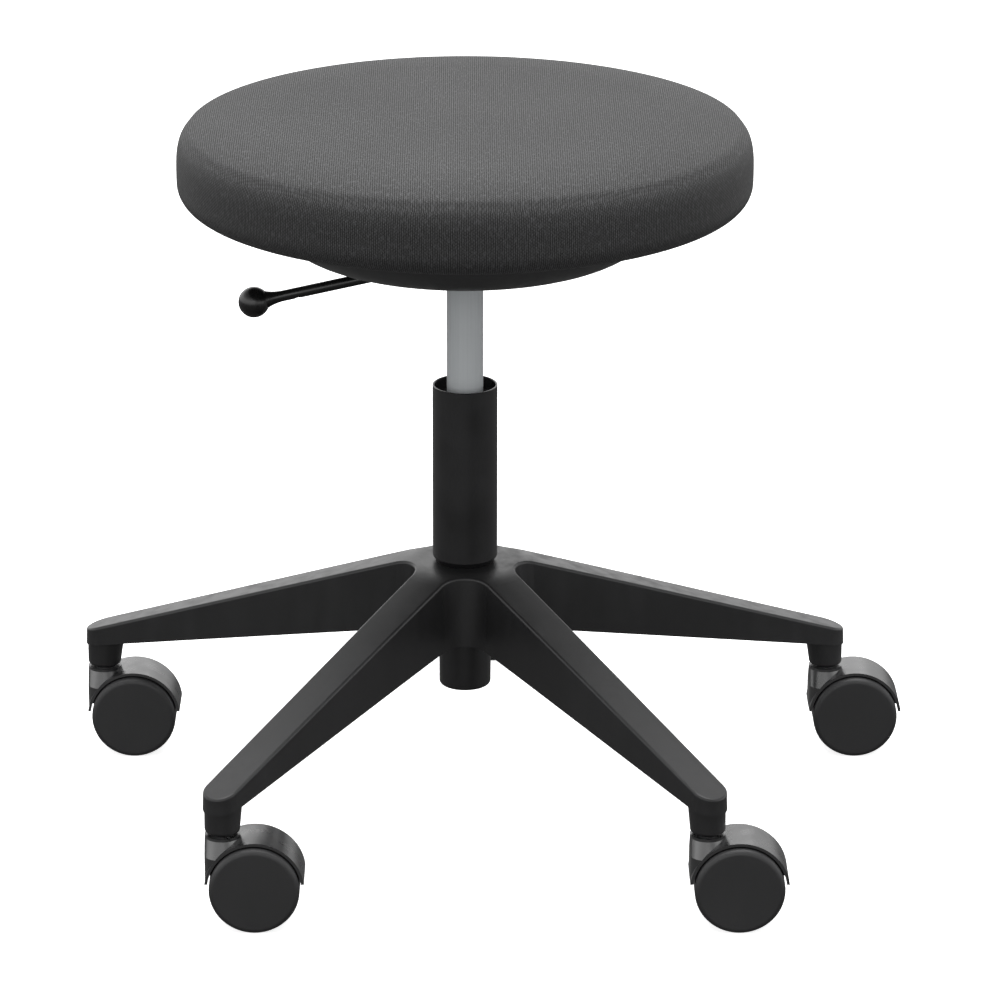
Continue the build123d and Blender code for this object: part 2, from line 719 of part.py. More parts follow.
# ---- seat ---------------------------------------------------------------------------------
def make_cushion(inset):
    """The cushion's outer shape, drawn in by an inset all round."""
    side_r = SEAT_R - inset
    bottom_z = SEAT_BOTTOM_Z + inset
    top_z = SEAT_HEIGHT - inset
    foot_top_z = SEAT_BOTTOM_Z + SEAT_FOOT_ROUND
    side_top_z = SEAT_BOTTOM_Z + SEAT_SIDE_RISE
    crown_r = SEAT_R - SEAT_CROWN_INSET
    with BuildPart() as cushion:
        with BuildSketch(Plane.XZ):
            with BuildLine():
                Line((0, bottom_z), (SEAT_FOOT_R, bottom_z))
                TangentArc((SEAT_FOOT_R, bottom_z), (side_r, foot_top_z), tangent=(1, 0))
                Line((side_r, foot_top_z), (side_r, side_top_z))
                Spline(
                    (side_r, side_top_z),
                    (side_r - SEAT_EDGE_INSET, top_z - SEAT_EDGE_DROP),
                    (side_r - SEAT_RIM_INSET, top_z - SEAT_RIM_DROP),
                    (crown_r, top_z),
                    tangents=[(0, 1), (-1, 0)],
                )
                Polyline((crown_r, top_z), (0, top_z), (0, bottom_z))
            make_face()
        revolve(axis=Axis.Z)
    return cushion


def make_seat_board():
    """Round plywood board, drilled for the tee nuts and the cover's screws."""
    top_z = BOARD_Z + BOARD_THICKNESS
    with BuildPart() as board:
        with BuildSketch(Plane.XY.offset(BOARD_Z)):
            Circle(BOARD_R)
        extrude(amount=BOARD_THICKNESS)
        with BuildSketch(Plane.XY.offset(BOARD_Z)):
            with GridLocations(SCREW_SPACING, SCREW_SPACING, 2, 2):
                Circle(TEE_NUT_R)
        extrude(amount=BOARD_THICKNESS, mode=Mode.SUBTRACT)
        with BuildSketch(Plane.XY.offset(top_z)):
            with GridLocations(SCREW_SPACING, SCREW_SPACING, 2, 2):
                Circle(TEE_NUT_FLANGE_R)
        extrude(amount=-TEE_NUT_FLANGE, mode=Mode.SUBTRACT)
        with BuildSketch(Plane.XY.offset(BOARD_Z)):
            with PolarLocations(COVER_SCREW_CIRCLE_R, COVER_SCREW_COUNT, start_angle=90):
                Circle(COVER_SCREW_R)
        extrude(amount=COVER_SCREW_BITE, mode=Mode.SUBTRACT)
    return board


def make_seat_foam():
    """Foam pad over the board and round its edge."""
    shape = make_cushion(FABRIC)
    with BuildPart() as foam:
        add(shape.part)
        add(board_blank().part, mode=Mode.SUBTRACT)
    return foam


def board_blank():
    """The board without its holes."""
    return ring(0, BOARD_R, BOARD_Z, BOARD_Z + BOARD_THICKNESS)


def make_seat_cover():
    """Fabric cover: a skin over the cushion, turned under the board to a hem."""
    outside = make_cushion(0)
    inside = make_cushion(FABRIC)
    opening = ring(0, HEM_R, SEAT_BOTTOM_Z - 1, BOARD_Z)
    with BuildPart() as cover:
        add(outside.part)
        add(inside.part, mode=Mode.SUBTRACT)
        add(opening.part, mode=Mode.SUBTRACT)
    return cover


# ---- seat plate ---------------------------------------------------------------------------
def make_seat_plate():
    """Pressed seat plate: flange, pan, taper socket, the lever's two lugs and a slot for the lever."""
    lug_height = BOARD_Z - LUG_TOP_GAP - PAN_FLOOR_TOP_Z
    with BuildPart() as plate:
        with BuildSketch(Plane.XY.offset(PLATE_Z)):
            RectangleRounded(PLATE_SIZE, PLATE_SIZE, PLATE_CORNER_R)
            Circle(PAN_RIM_R - PLATE_THICKNESS / 2, mode=Mode.SUBTRACT)
            with GridLocations(SCREW_SPACING, SCREW_SPACING, 2, 2):
                Circle(PLATE_SCREW_R, mode=Mode.SUBTRACT)
        extrude(amount=PLATE_THICKNESS)
        with BuildSketch(Plane.XZ):
            with BuildLine():
                Polyline(
                    (cone_r(SOCKET_BOTTOM_Z), SOCKET_BOTTOM_Z),
                    (SOCKET_R, SOCKET_BOTTOM_Z),
                    (SOCKET_R, PAN_FLOOR_Z),
                    (PAN_FLOOR_R, PAN_FLOOR_Z),
                    (PAN_RIM_R, PLATE_Z),
                    (PAN_RIM_R, BOARD_Z),
                    (PAN_RIM_R - PLATE_THICKNESS, BOARD_Z),
                    (PAN_FLOOR_R - PLATE_THICKNESS, PAN_FLOOR_TOP_Z),
                    (cone_r(PAN_FLOOR_TOP_Z), PAN_FLOOR_TOP_Z),
                    close=True,
                )
            make_face()
        revolve(axis=Axis.Z)
        with BuildSketch(Plane.XY.offset(PAN_FLOOR_TOP_Z)):
            with Locations((PIVOT_X, LUG_Y), (PIVOT_X, -LUG_Y)):
                Rectangle(LUG_WIDTH, LUG_THICKNESS)
        extrude(amount=lug_height)
        with BuildSketch(Plane.XZ):
            with Locations((PIVOT_X, PIVOT_Z)):
                Circle(LEVER_PIN_R)
        extrude(amount=2 * LEVER_EYE_WIDTH, both=True, mode=Mode.SUBTRACT)
        with BuildSketch(Plane.XY.offset(PAN_FLOOR_Z)):
            with Locations((LEVER_BEND_X + LEVER_ROD_R + PAN_SLOT_GAP - PAN_RIM_R / 2, 0)):
                Rectangle(PAN_RIM_R, LEVER_EYE_WIDTH)
        extrude(amount=lug_height, mode=Mode.SUBTRACT)
    return plate


def make_plate_screws():
    """Four screws that hold the seat plate to the tee nuts."""
    bite_z = BOARD_Z + BOARD_THICKNESS - TEE_NUT_FLANGE
    with BuildPart() as screws:
        with BuildSketch(Plane.XY.offset(PLATE_Z - PLATE_SCREW_HEAD)):
            with GridLocations(SCREW_SPACING, SCREW_SPACING, 2, 2):
                RegularPolygon(PLATE_SCREW_HEAD_R, 6)
        extrude(amount=PLATE_SCREW_HEAD)
        with BuildSketch(Plane.XY.offset(PLATE_Z)):
            with GridLocations(SCREW_SPACING, SCREW_SPACING, 2, 2):
                Circle(PLATE_SCREW_R)
        extrude(amount=bite_z - PLATE_Z)
    return screws


def make_tee_nuts():
    """Four tee nuts let into the board."""
    top_z = BOARD_Z + BOARD_THICKNESS
    with BuildPart() as nuts:
        with BuildSketch(Plane.XY.offset(BOARD_Z)):
            with GridLocations(SCREW_SPACING, SCREW_SPACING, 2, 2):
                Circle(TEE_NUT_R)
        extrude(amount=BOARD_THICKNESS)
        with BuildSketch(Plane.XY.offset(top_z)):
            with GridLocations(SCREW_SPACING, SCREW_SPACING, 2, 2):
                Circle(TEE_NUT_FLANGE_R)
        extrude(amount=-TEE_NUT_FLANGE)
        with BuildSketch(Plane.XY.offset(BOARD_Z)):
            with GridLocations(SCREW_SPACING, SCREW_SPACING, 2, 2):
                Circle(PLATE_SCREW_R)
        extrude(amount=BOARD_THICKNESS, mode=Mode.SUBTRACT)
    return nuts


# ---- under cover --------------------------------------------------------------------------
def make_under_cover():
    """Dish that hides the seat plate, with screw posts and a slot for the lever."""
    hole_r = SOCKET_R + COVER_HOLE_GAP
    inner_r = COVER_R - COVER_WALL
    floor_top_z = COVER_BOTTOM_Z + COVER_WALL
    slot_middle_x = -(COVER_SLOT_START + COVER_SLOT_END) / 2
    with BuildPart() as cover:
        with BuildSketch(Plane.XZ):
            with BuildLine():
                Line((hole_r, COVER_BOTTOM_Z), (COVER_FLAT_R, COVER_BOTTOM_Z))
                TangentArc((COVER_FLAT_R, COVER_BOTTOM_Z), (COVER_R, BOARD_Z), tangent=(1, 0))
                Line((COVER_R, BOARD_Z), (inner_r, BOARD_Z))
                TangentArc((COVER_FLAT_R, floor_top_z), (inner_r, BOARD_Z), tangent=(1, 0))
                Polyline(
                    (COVER_FLAT_R, floor_top_z), (hole_r, floor_top_z), (hole_r, COVER_BOTTOM_Z)
                )
            make_face()
        revolve(axis=Axis.Z)
        with BuildSketch(Plane.XY.offset(COVER_BOTTOM_Z)):
            with PolarLocations(COVER_SCREW_CIRCLE_R, COVER_SCREW_COUNT, start_angle=90):
                Circle(COVER_POST_BASE_R)
        extrude(amount=COVER_POST_BASE_HEIGHT)
        with BuildSketch(Plane.XY.offset(COVER_BOTTOM_Z)):
            with PolarLocations(COVER_SCREW_CIRCLE_R, COVER_SCREW_COUNT, start_angle=90):
                Circle(COVER_POST_R)
        extrude(amount=BOARD_Z - COVER_BOTTOM_Z)
        with BuildSketch(Plane.XY.offset(COVER_BOTTOM_Z)):
            with PolarLocations(COVER_SCREW_CIRCLE_R, COVER_SCREW_COUNT, start_angle=90):
                Circle(COVER_SCREW_R)
        extrude(amount=BOARD_Z - COVER_BOTTOM_Z, mode=Mode.SUBTRACT)
        with BuildSketch(Plane.XY.offset(COVER_BOTTOM_Z)):
            with PolarLocations(COVER_SCREW_CIRCLE_R, COVER_SCREW_COUNT, start_angle=90):
                Circle(COVER_SCREW_HEAD_R + 2 * RUNNING_FIT)
        extrude(amount=COVER_SCREW_SINK, mode=Mode.SUBTRACT)
        with BuildSketch(Plane.XY.offset(COVER_BOTTOM_Z)):
            with Locations((slot_middle_x, 0)):
                SlotOverall(COVER_SLOT_END - COVER_SLOT_START, COVER_SLOT_WIDTH)
        extrude(amount=COVER_WALL, mode=Mode.SUBTRACT)
    return cover


def make_under_cover_screws():
    """Screws that hold the under cover to the board."""
    seat_z = COVER_BOTTOM_Z + COVER_SCREW_SINK
    with BuildPart() as screws:
        with BuildSketch(Plane.XY.offset(seat_z - COVER_SCREW_HEAD)):
            with PolarLocations(COVER_SCREW_CIRCLE_R, COVER_SCREW_COUNT, start_angle=90):
                Circle(COVER_SCREW_HEAD_R)
        extrude(amount=COVER_SCREW_HEAD)
        with BuildSketch(Plane.XY.offset(seat_z)):
            with PolarLocations(COVER_SCREW_CIRCLE_R, COVER_SCREW_COUNT, start_angle=90):
                Circle(COVER_SCREW_R)
        extrude(amount=BOARD_Z + COVER_SCREW_BITE - seat_z)
        with BuildSketch(Plane.XY.offset(seat_z - COVER_SCREW_HEAD)):
            with PolarLocations(COVER_SCREW_CIRCLE_R, COVER_SCREW_COUNT, start_angle=90):
                Rectangle(CROSS_LENGTH, CROSS_WIDTH)
                Rectangle(CROSS_WIDTH, CROSS_LENGTH)
        extrude(amount=CROSS_DEPTH, mode=Mode.SUBTRACT)
    return screws


# ---- lever --------------------------------------------------------------------------------
def grip_z(x):
    """Height of the lever's straight outer part at a place along X."""
    return BOARD_Z - GRIP_LINE_DROP + GRIP_LINE_SLOPE * x


def make_lever_rod():
    """Bent steel rod from over the valve pin, down through the cover and out to the knob."""
    with BuildPart() as rod:
        with BuildLine(Plane.XZ) as route:
            FilletPolyline(
                (LEVER_TIP_X, PIVOT_Z),
                (LEVER_BEND_X, PIVOT_Z),
                (LEVER_ELBOW_X, grip_z(LEVER_ELBOW_X)),
                (KNOB_X, grip_z(KNOB_X)),
                radius=LEVER_BEND_R,
            )
        with BuildSketch(Plane(origin=route.line @ 0, z_dir=route.line % 0)):
            Circle(LEVER_ROD_R)
        sweep()
        with BuildSketch(Plane.XZ):
            with Locations((PIVOT_X, PIVOT_Z)):
                Circle(LEVER_EYE_R)
        extrude(amount=LEVER_EYE_WIDTH / 2, both=True)
        with BuildSketch(Plane.XZ):
            with Locations((PIVOT_X, PIVOT_Z)):
                Circle(LEVER_PIN_R + RUNNING_FIT)
        extrude(amount=LEVER_EYE_WIDTH, both=True, mode=Mode.SUBTRACT)
    return rod


def make_lever_grip(lever_rod):
    """Moulded grip over the rod: a slim stalk that flares into a ball knob."""
    lean = atan(GRIP_LINE_SLOPE)
    inward = Vector(cos(lean), 0, sin(lean))
    knob = Vector(KNOB_X, 0, grip_z(KNOB_X))
    length = (GRIP_START_X - KNOB_X) / inward.X
    neck = (GRIP_NECK_X - KNOB_X) / inward.X
    collar = (KNOB_R * NECK_TURN, KNOB_R * sin(acos(NECK_TURN)))
    side_plane = Plane(origin=(0, 0, grip_z(0)), x_dir=inward, z_dir=(0, -1, 0))
    with BuildPart() as grip:
        with BuildSketch(Plane(origin=knob, x_dir=(0, 1, 0), z_dir=(sin(lean), 0, -cos(lean)))):
            with BuildLine():
                Polyline(
                    (0, 0),
                    (0, length),
                    (GRIP_START_R, length),
                    (GRIP_R, length - GRIP_START_TAPER),
                    (GRIP_R, neck),
                )
                TangentArc((GRIP_R, neck), collar, tangent=(0, -1))
                Polyline(collar, (0, 0))
            make_face()
        revolve(axis=Axis(knob, inward))
        with Locations(knob):
            Sphere(KNOB_R)
        with BuildSketch(side_plane):
            with Locations((GRIP_NOTCH_X, GRIP_NOTCH_DEPTH - GRIP_R - GRIP_NOTCH_R)):
                Circle(GRIP_NOTCH_R)
        extrude(amount=GRIP_R, both=True, mode=Mode.SUBTRACT)
        add(lever_rod.part, mode=Mode.SUBTRACT)
    return grip


def make_lever_pin():
    """Pin that the lever tilts on, held in the seat plate's lugs."""
    with BuildPart() as pin:
        with BuildSketch(Plane.XZ):
            with Locations((PIVOT_X, PIVOT_Z)):
                Circle(LEVER_PIN_R)
        extrude(amount=LEVER_PIN_LENGTH / 2, both=True)
    return pin


# ---- casters ------------------------------------------------------------------------------
def make_caster_body():
    """Caster body with its stem at the origin: hood, flared post and web between the wheels."""
    post_top_z = BOSS_BOTTOM_Z - POST_GAP
    flare_top_z = post_top_z - POST_STRAIGHT
    flare_bottom_z = flare_top_z - POST_FLARE
    hood_end_z = WHEEL_R + HOOD_END_RISE
    space_r = WHEEL_R + HOOD_GAP
    hood_r = space_r + HOOD_WALL
    wheel_plane = Plane(origin=(CASTER_TRAIL, 0, WHEEL_R), x_dir=(1, 0, 0), z_dir=(0, -1, 0))
    with BuildPart() as body:
        with BuildSketch(wheel_plane):
            Circle(hood_r)
        extrude(amount=HOOD_HALF_WIDTH, both=True)
        with BuildSketch(Plane.XY.offset(hood_end_z)):
            RectangleRounded(2 * BOSS_R, 2 * HOOD_HALF_WIDTH, POST_CORNER_R)
        extrude(amount=flare_bottom_z - hood_end_z)
        with BuildSketch(Plane.XY.offset(flare_bottom_z)):
            RectangleRounded(2 * BOSS_R, 2 * HOOD_HALF_WIDTH, POST_CORNER_R)
        with BuildSketch(Plane.XY.offset(flare_top_z)):
            RectangleRounded(2 * BOSS_R, 2 * BOSS_R, BOSS_R - POST_ROUND_SLACK)
        loft()
        with BuildSketch(Plane.XY.offset(flare_top_z)):
            Circle(BOSS_R)
        extrude(amount=post_top_z - flare_top_z)
        with BuildSketch(wheel_plane):
            Circle(space_r)
        extrude(amount=2 * HOOD_HALF_WIDTH, both=True, mode=Mode.SUBTRACT)
        with BuildSketch(Plane.XY.offset(hood_end_z)):
            Rectangle(8 * hood_r, 8 * hood_r)
        extrude(amount=-2 * hood_r, mode=Mode.SUBTRACT)
        with BuildSketch(wheel_plane):
            Circle(space_r)
            with Locations((0, hood_end_z - WHEEL_R - 2 * space_r)):
                Rectangle(4 * space_r, 4 * space_r, mode=Mode.SUBTRACT)
            Circle(WEB_BOSS_R)
        extrude(amount=WEB_THICKNESS / 2, both=True)
        with BuildSketch(wheel_plane):
            Circle(AXLE_R)
        extrude(amount=WEB_THICKNESS, both=True, mode=Mode.SUBTRACT)
        with BuildSketch(Plane.XY.offset(post_top_z)):
            Circle(STEM_JOURNAL_R + RUNNING_FIT)
        extrude(amount=-(stem_depth() + 2 * SOCKET_CLEARANCE), mode=Mode.SUBTRACT)
    return body


def stem_depth():
    """How far a stem's journal reaches into the post."""
    return STEM_JOURNAL_LENGTH + STEM_FLANGE_THICKNESS - POST_GAP


def make_axle():
    """Axle with the caster's stem at the origin."""
    with BuildPart() as axle:
        with BuildSketch(Plane(origin=(CASTER_TRAIL, 0, WHEEL_R), x_dir=(1, 0, 0), z_dir=(0, -1, 0))):
            Circle(AXLE_R)
        extrude(amount=AXLE_LENGTH / 2, both=True)
    return axle


def make_wheel(side):
    """One wheel with the caster's stem at the origin: hub, face disc and rounded rim."""
    inner_y = side * (WEB_THICKNESS / 2 + WEB_GAP)
    outer_y = side * WHEEL_OUTER_Y
    face_y = side * (WHEEL_OUTER_Y - WHEEL_FACE)
    edge_y = side * (WHEEL_OUTER_Y - WHEEL_EDGE)
    end_y = side * (AXLE_LENGTH / 2 + RUNNING_FIT)
    bore_r = AXLE_R + RUNNING_FIT
    rim_r = WHEEL_R - WHEEL_RIM
    turn_plane = Plane(origin=(CASTER_TRAIL, 0, WHEEL_R), x_dir=(0, 0, 1), z_dir=(-1, 0, 0))
    with BuildPart() as wheel:
        with BuildSketch(turn_plane):
            with BuildLine():
                Polyline(
                    (bore_r, inner_y),
                    (WHEEL_HUB_R, inner_y),
                    (WHEEL_HUB_R, face_y),
                    (rim_r, face_y),
                    (rim_r, inner_y),
                    (WHEEL_R - WHEEL_INNER_EDGE, inner_y),
                    (WHEEL_R, inner_y + side * WHEEL_INNER_EDGE),
                    (WHEEL_R, edge_y),
                )
                TangentArc((WHEEL_R, edge_y), (WHEEL_R - WHEEL_EDGE, outer_y), tangent=(0, side))
                Polyline(
                    (WHEEL_R - WHEEL_EDGE, outer_y),
                    (0, outer_y),
                    (0, end_y),
                    (bore_r, end_y),
                    (bore_r, inner_y),
                )
            make_face()
        revolve(axis=Axis((CASTER_TRAIL, 0, WHEEL_R), (0, 1, 0)))
    return wheel


def at_stem(pattern, angle_deg):
    """A copy of a caster piece at the stem on one arm."""
    with BuildPart() as piece:
        with Locations(spot_at(STEM_CIRCLE_R, angle_deg)):
            add(pattern.part)
    return piece


# ---- build --------------------------------------------------------------------------------
os.makedirs("parts", exist_ok=True)

save(make_stand_tube(), "stand_tube")
save(make_guide_bush(), "guide_bush")
save(make_base_star(make_tube_fill()), "base_star")
save(on_stem_circle(make_stem()), "caster_stems")
save(on_stem_circle(make_grip_ring()), "stem_grip_rings")

save(make_end_plate(), "tube_end_plate")
save(make_lower_washer(), "bearing_lower_washer")
save(make_upper_washer(), "bearing_upper_washer")
save(make_bearing_balls(), "bearing_balls")
save(make_bearing_cage(), "bearing_cage")
save(make_buffer(), "rubber_buffer")
save(make_retaining_clip(), "retaining_clip")
save(make_piston_rod(), "piston_rod")
save(make_piston(), "piston")
save(make_piston_seal(), "piston_seal")

save(make_gas_cylinder(), "gas_cylinder")
save(make_cylinder_gland(), "cylinder_gland")
save(make_rod_seal(), "rod_seal")
save(make_valve_body(), "valve_body")
save(make_valve_pin(), "valve_pin")

save(make_seat_board(), "seat_board")
save(make_seat_foam(), "seat_foam")
save(make_seat_cover(), "seat_cover")
save(make_seat_plate(), "seat_plate")
save(make_plate_screws(), "plate_screws")
save(make_tee_nuts(), "tee_nuts")
save(make_under_cover(), "under_cover")
save(make_under_cover_screws(), "under_cover_screws")

lever_rod = make_lever_rod()
save(lever_rod, "lever_rod")
save(make_lever_grip(lever_rod), "lever_grip")
save(make_lever_pin(), "lever_pin")

caster_body = make_caster_body()
caster_axle = make_axle()
caster_wheel_a = make_wheel(-1)
caster_wheel_b = make_wheel(1)
for number, angle in enumerate(ARM_ANGLES, start=1):
    save(at_stem(caster_body, angle), f"caster_{number}_body")
    save(at_stem(caster_axle, angle), f"caster_{number}_axle")
    save(at_stem(caster_wheel_a, angle), f"caster_{number}_wheel_a")
    save(at_stem(caster_wheel_b, angle), f"caster_{number}_wheel_b")
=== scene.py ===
"""Adjustable swivel stool: the upholstered seat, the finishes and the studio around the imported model."""

import json
import logging
import math
from dataclasses import dataclass
from enum import Enum

import bpy
import numpy as np
from mathutils import Matrix, Vector


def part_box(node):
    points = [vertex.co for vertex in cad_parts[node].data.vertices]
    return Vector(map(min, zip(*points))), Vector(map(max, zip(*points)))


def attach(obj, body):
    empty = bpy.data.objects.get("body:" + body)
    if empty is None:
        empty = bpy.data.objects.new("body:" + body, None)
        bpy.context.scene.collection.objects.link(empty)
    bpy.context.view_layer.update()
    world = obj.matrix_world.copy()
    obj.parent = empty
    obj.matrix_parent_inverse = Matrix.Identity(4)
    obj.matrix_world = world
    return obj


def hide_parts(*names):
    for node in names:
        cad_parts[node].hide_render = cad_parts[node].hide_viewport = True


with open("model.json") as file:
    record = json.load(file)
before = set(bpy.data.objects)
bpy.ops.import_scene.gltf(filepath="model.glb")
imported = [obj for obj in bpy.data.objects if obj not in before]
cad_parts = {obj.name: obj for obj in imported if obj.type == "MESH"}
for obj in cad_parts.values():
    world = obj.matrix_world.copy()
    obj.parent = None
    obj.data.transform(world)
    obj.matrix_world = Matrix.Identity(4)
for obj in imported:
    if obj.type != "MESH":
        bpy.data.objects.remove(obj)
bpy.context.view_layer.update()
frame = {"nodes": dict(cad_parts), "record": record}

log = logging.getLogger("stool")

Point = tuple[float, float, float]
Colour = tuple[float, float, float]
Stops = tuple[tuple[float, float], ...]

# Brightness of the studio's cove by the sine of the height, and by the way to the right: first
# as gloss shows it, and then as it lights matte surfaces.
HEIGHT_GLOW: Stops = (
    (-1.0, 0.12), (-0.12, 0.22), (0.02, 1.5), (0.14, 1.7), (0.36, 2.1), (0.55, 0.9), (0.75, 0.4), (1.0, 0.6),
)
SIDE_GLOW: Stops = ((-1.0, 1.0), (0.15, 1.0), (0.34, 0.6), (1.0, 1.1))
HEIGHT_WASH: Stops = ((-1.0, 0.1), (-0.12, 0.16), (0.02, 0.75), (0.36, 1.0), (0.6, 0.7), (1.0, 0.8))
SIDE_WASH: Stops = ((-1.0, 0.5), (-0.5, 0.8), (0.0, 1.0), (0.5, 0.8), (1.0, 0.5))


class Slot(Enum):
    """The record's finishes that the pieces take."""

    SEAT_FABRIC = "seat_fabric"
    SEAT_FOAM = "seat_foam"
    PLYWOOD = "plywood"
    COVER_PLASTIC = "cover_plastic"
    BASE_NYLON = "base_nylon"
    TUBE_PAINT = "tube_paint"
    PLATE_PAINT = "plate_paint"
    CYLINDER_STEEL = "cylinder_steel"
    BRIGHT_STEEL = "bright_steel"
    ROD_CHROME = "rod_chrome"
    BUSH_PLASTIC = "bush_plastic"
    VALVE_BRASS = "valve_brass"
    SEAL_RUBBER = "seal_rubber"
    KNOB_PLASTIC = "knob_plastic"
    HOOD_PLASTIC = "hood_plastic"
    WHEEL_PLASTIC = "wheel_plastic"


# ---- material making ------------------------------------------------------------------------
class NodeSheet:
    """A new material's node tree, with short calls for the nodes that the finishes use."""

    def __init__(self, name: str) -> None:
        """Makes the material with an empty tree, a shader and an output.

        Args:
            name: The material's name.
        """
        self.material = bpy.data.materials.new(name)
        self.material.use_nodes = True
        self.tree = self.material.node_tree
        self.tree.nodes.clear()
        self.output = self.tree.nodes.new("ShaderNodeOutputMaterial")
        self.shader = self.tree.nodes.new("ShaderNodeBsdfPrincipled")
        self.join(self.shader.outputs["BSDF"], self.output.inputs["Surface"])

    def join(self, source: bpy.types.NodeSocket, target: bpy.types.NodeSocket) -> None:
        """Links one socket to another."""
        self.tree.links.new(source, target)

    def feed(self, target: bpy.types.NodeSocket, value: object) -> None:
        """Links a socket to an input, or sets the input's own value.

        Args:
            target: The input socket.
            value: A socket, a number or a tuple.
        """
        if isinstance(value, bpy.types.NodeSocket):
            self.join(value, target)
        else:
            target.default_value = value

    def set(self, values: dict[str, object]) -> None:
        """Sets constants on the shader's own sockets.

        Args:
            values: Socket names and their values.
        """
        for name, value in values.items():
            self.shader.inputs[name].default_value = value

    def place(self, scale: Point = (1.0, 1.0, 1.0), uv: bool = False) -> bpy.types.NodeSocket:
        """Gives the pattern's coordinates.

        Args:
            scale: Stretch of the pattern along each axis.
            uv: True to follow the piece's own UV map, in metres, and not its object's axes.

        Returns:
            The vector socket.
        """
        source = self.tree.nodes.new("ShaderNodeTexCoord")
        mapping = self.tree.nodes.new("ShaderNodeMapping")
        mapping.inputs["Scale"].default_value = scale
        self.join(source.outputs["UV" if uv else "Object"], mapping.inputs["Vector"])
        return mapping.outputs["Vector"]

    def noise(self, where: bpy.types.NodeSocket, scale: float, detail: float = 2.0) -> bpy.types.NodeSocket:
        """Gives a soft random field from 0 to 1.

        Args:
            where: The pattern's coordinates.
            scale: Features in a metre.
            detail: Octaves.

        Returns:
            The factor socket.
        """
        node = self.tree.nodes.new("ShaderNodeTexNoise")
        node.inputs["Scale"].default_value = scale
        node.inputs["Detail"].default_value = detail
        self.join(where, node.inputs["Vector"])
        return node.outputs["Fac"]

    def cells(self, where: bpy.types.NodeSocket, scale: float) -> bpy.types.NodeSocket:
        """Gives the distance to the nearest of scattered points.

        Args:
            where: The pattern's coordinates.
            scale: Points in a metre.

        Returns:
            The distance socket.
        """
        node = self.tree.nodes.new("ShaderNodeTexVoronoi")
        node.inputs["Scale"].default_value = scale
        self.join(where, node.inputs["Vector"])
        return node.outputs["Distance"]

    def maths(self, kind: str, first: object, second: object = 0.5,
              third: object = 0.5) -> bpy.types.NodeSocket:
        """Does one sum.

        Args:
            kind: The operation's name.
            first: A socket or a number.
            second: A socket or a number.
            third: A socket or a number.

        Returns:
            The result socket.
        """
        node = self.tree.nodes.new("ShaderNodeMath")
        node.operation = kind
        for socket, value in zip(node.inputs, (first, second, third)):
            self.feed(socket, value)
        return node.outputs["Value"]

    def wave(self, along: bpy.types.NodeSocket, pitch: float, shift: object = 0.0) -> bpy.types.NodeSocket:
        """Gives a smooth ridge from 0 to 1 that repeats along a coordinate.

        Args:
            along: The coordinate, in metres.
            pitch: Distance from ridge to ridge.
            shift: Turn of the wave, a socket or a number.

        Returns:
            The height socket.
        """
        turn = self.maths("MULTIPLY_ADD", along, math.tau / pitch, shift)
        return self.maths("MULTIPLY_ADD", self.maths("SINE", turn), 0.5, 0.5)

    def parts(self, where: bpy.types.NodeSocket) -> tuple[bpy.types.NodeSocket, ...]:
        """Splits coordinates into their three numbers."""
        node = self.tree.nodes.new("ShaderNodeSeparateXYZ")
        self.join(where, node.inputs["Vector"])
        return tuple(node.outputs)

    def spread(self, value: bpy.types.NodeSocket, low: float, high: float, start: float = 0.3,
               end: float = 0.7) -> bpy.types.NodeSocket:
        """Stretches part of a field over a new range.

        Args:
            value: The field.
            low: Result at start and below.
            high: Result at end and above.
            start: Lower end of the field's part.
            end: Upper end of the field's part.

        Returns:
            The result socket.
        """
        node = self.tree.nodes.new("ShaderNodeMapRange")
        node.interpolation_type = "SMOOTHSTEP"
        for name, number in (("From Min", start), ("From Max", end), ("To Min", low), ("To Max", high)):
            node.inputs[name].default_value = number
        self.join(value, node.inputs["Value"])
        return node.outputs["Result"]

    def blend(self, share: object, first: object, second: object) -> bpy.types.NodeSocket:
        """Mixes two colours.

        Args:
            share: 0 for the first colour and 1 for the second.
            first: A socket or a colour.
            second: A socket or a colour.

        Returns:
            The colour socket.
        """
        node = self.tree.nodes.new("ShaderNodeMix")
        node.data_type = "RGBA"
        self.feed(node.inputs["Factor"], share)
        for name, value in (("A", first), ("B", second)):
            socket = next(s for s in node.inputs if s.name == name and s.type == "RGBA")
            self.feed(socket, value if isinstance(value, bpy.types.NodeSocket) else (*value, 1.0))
        return next(s for s in node.outputs if s.type == "RGBA")

    def bump(self, height: bpy.types.NodeSocket, depth: float, under: object = None) -> bpy.types.NodeSocket:
        """Turns a height field into a bumped normal.

        Args:
            height: The field.
            depth: Height of 1, in metres.
            under: A normal socket that this bump lies on.

        Returns:
            The normal socket.
        """
        node = self.tree.nodes.new("ShaderNodeBump")
        node.inputs["Strength"].default_value = 1.0
        node.inputs["Distance"].default_value = depth
        self.join(height, node.inputs["Height"])
        if under is not None:
            self.join(under, node.inputs["Normal"])
        return node.outputs["Normal"]

    def finish(self, colour: object, roughness: object, normal: object) -> bpy.types.Material:
        """Feeds the shader and gives the material.

        Args:
            colour: The base colour socket.
            roughness: The roughness socket.
            normal: The normal socket.

        Returns:
            The finished material.
        """
        self.feed(self.shader.inputs["Base Color"], colour)
        self.feed(self.shader.inputs["Roughness"], roughness)
        self.join(normal, self.shader.inputs["Normal"])
        return self.material


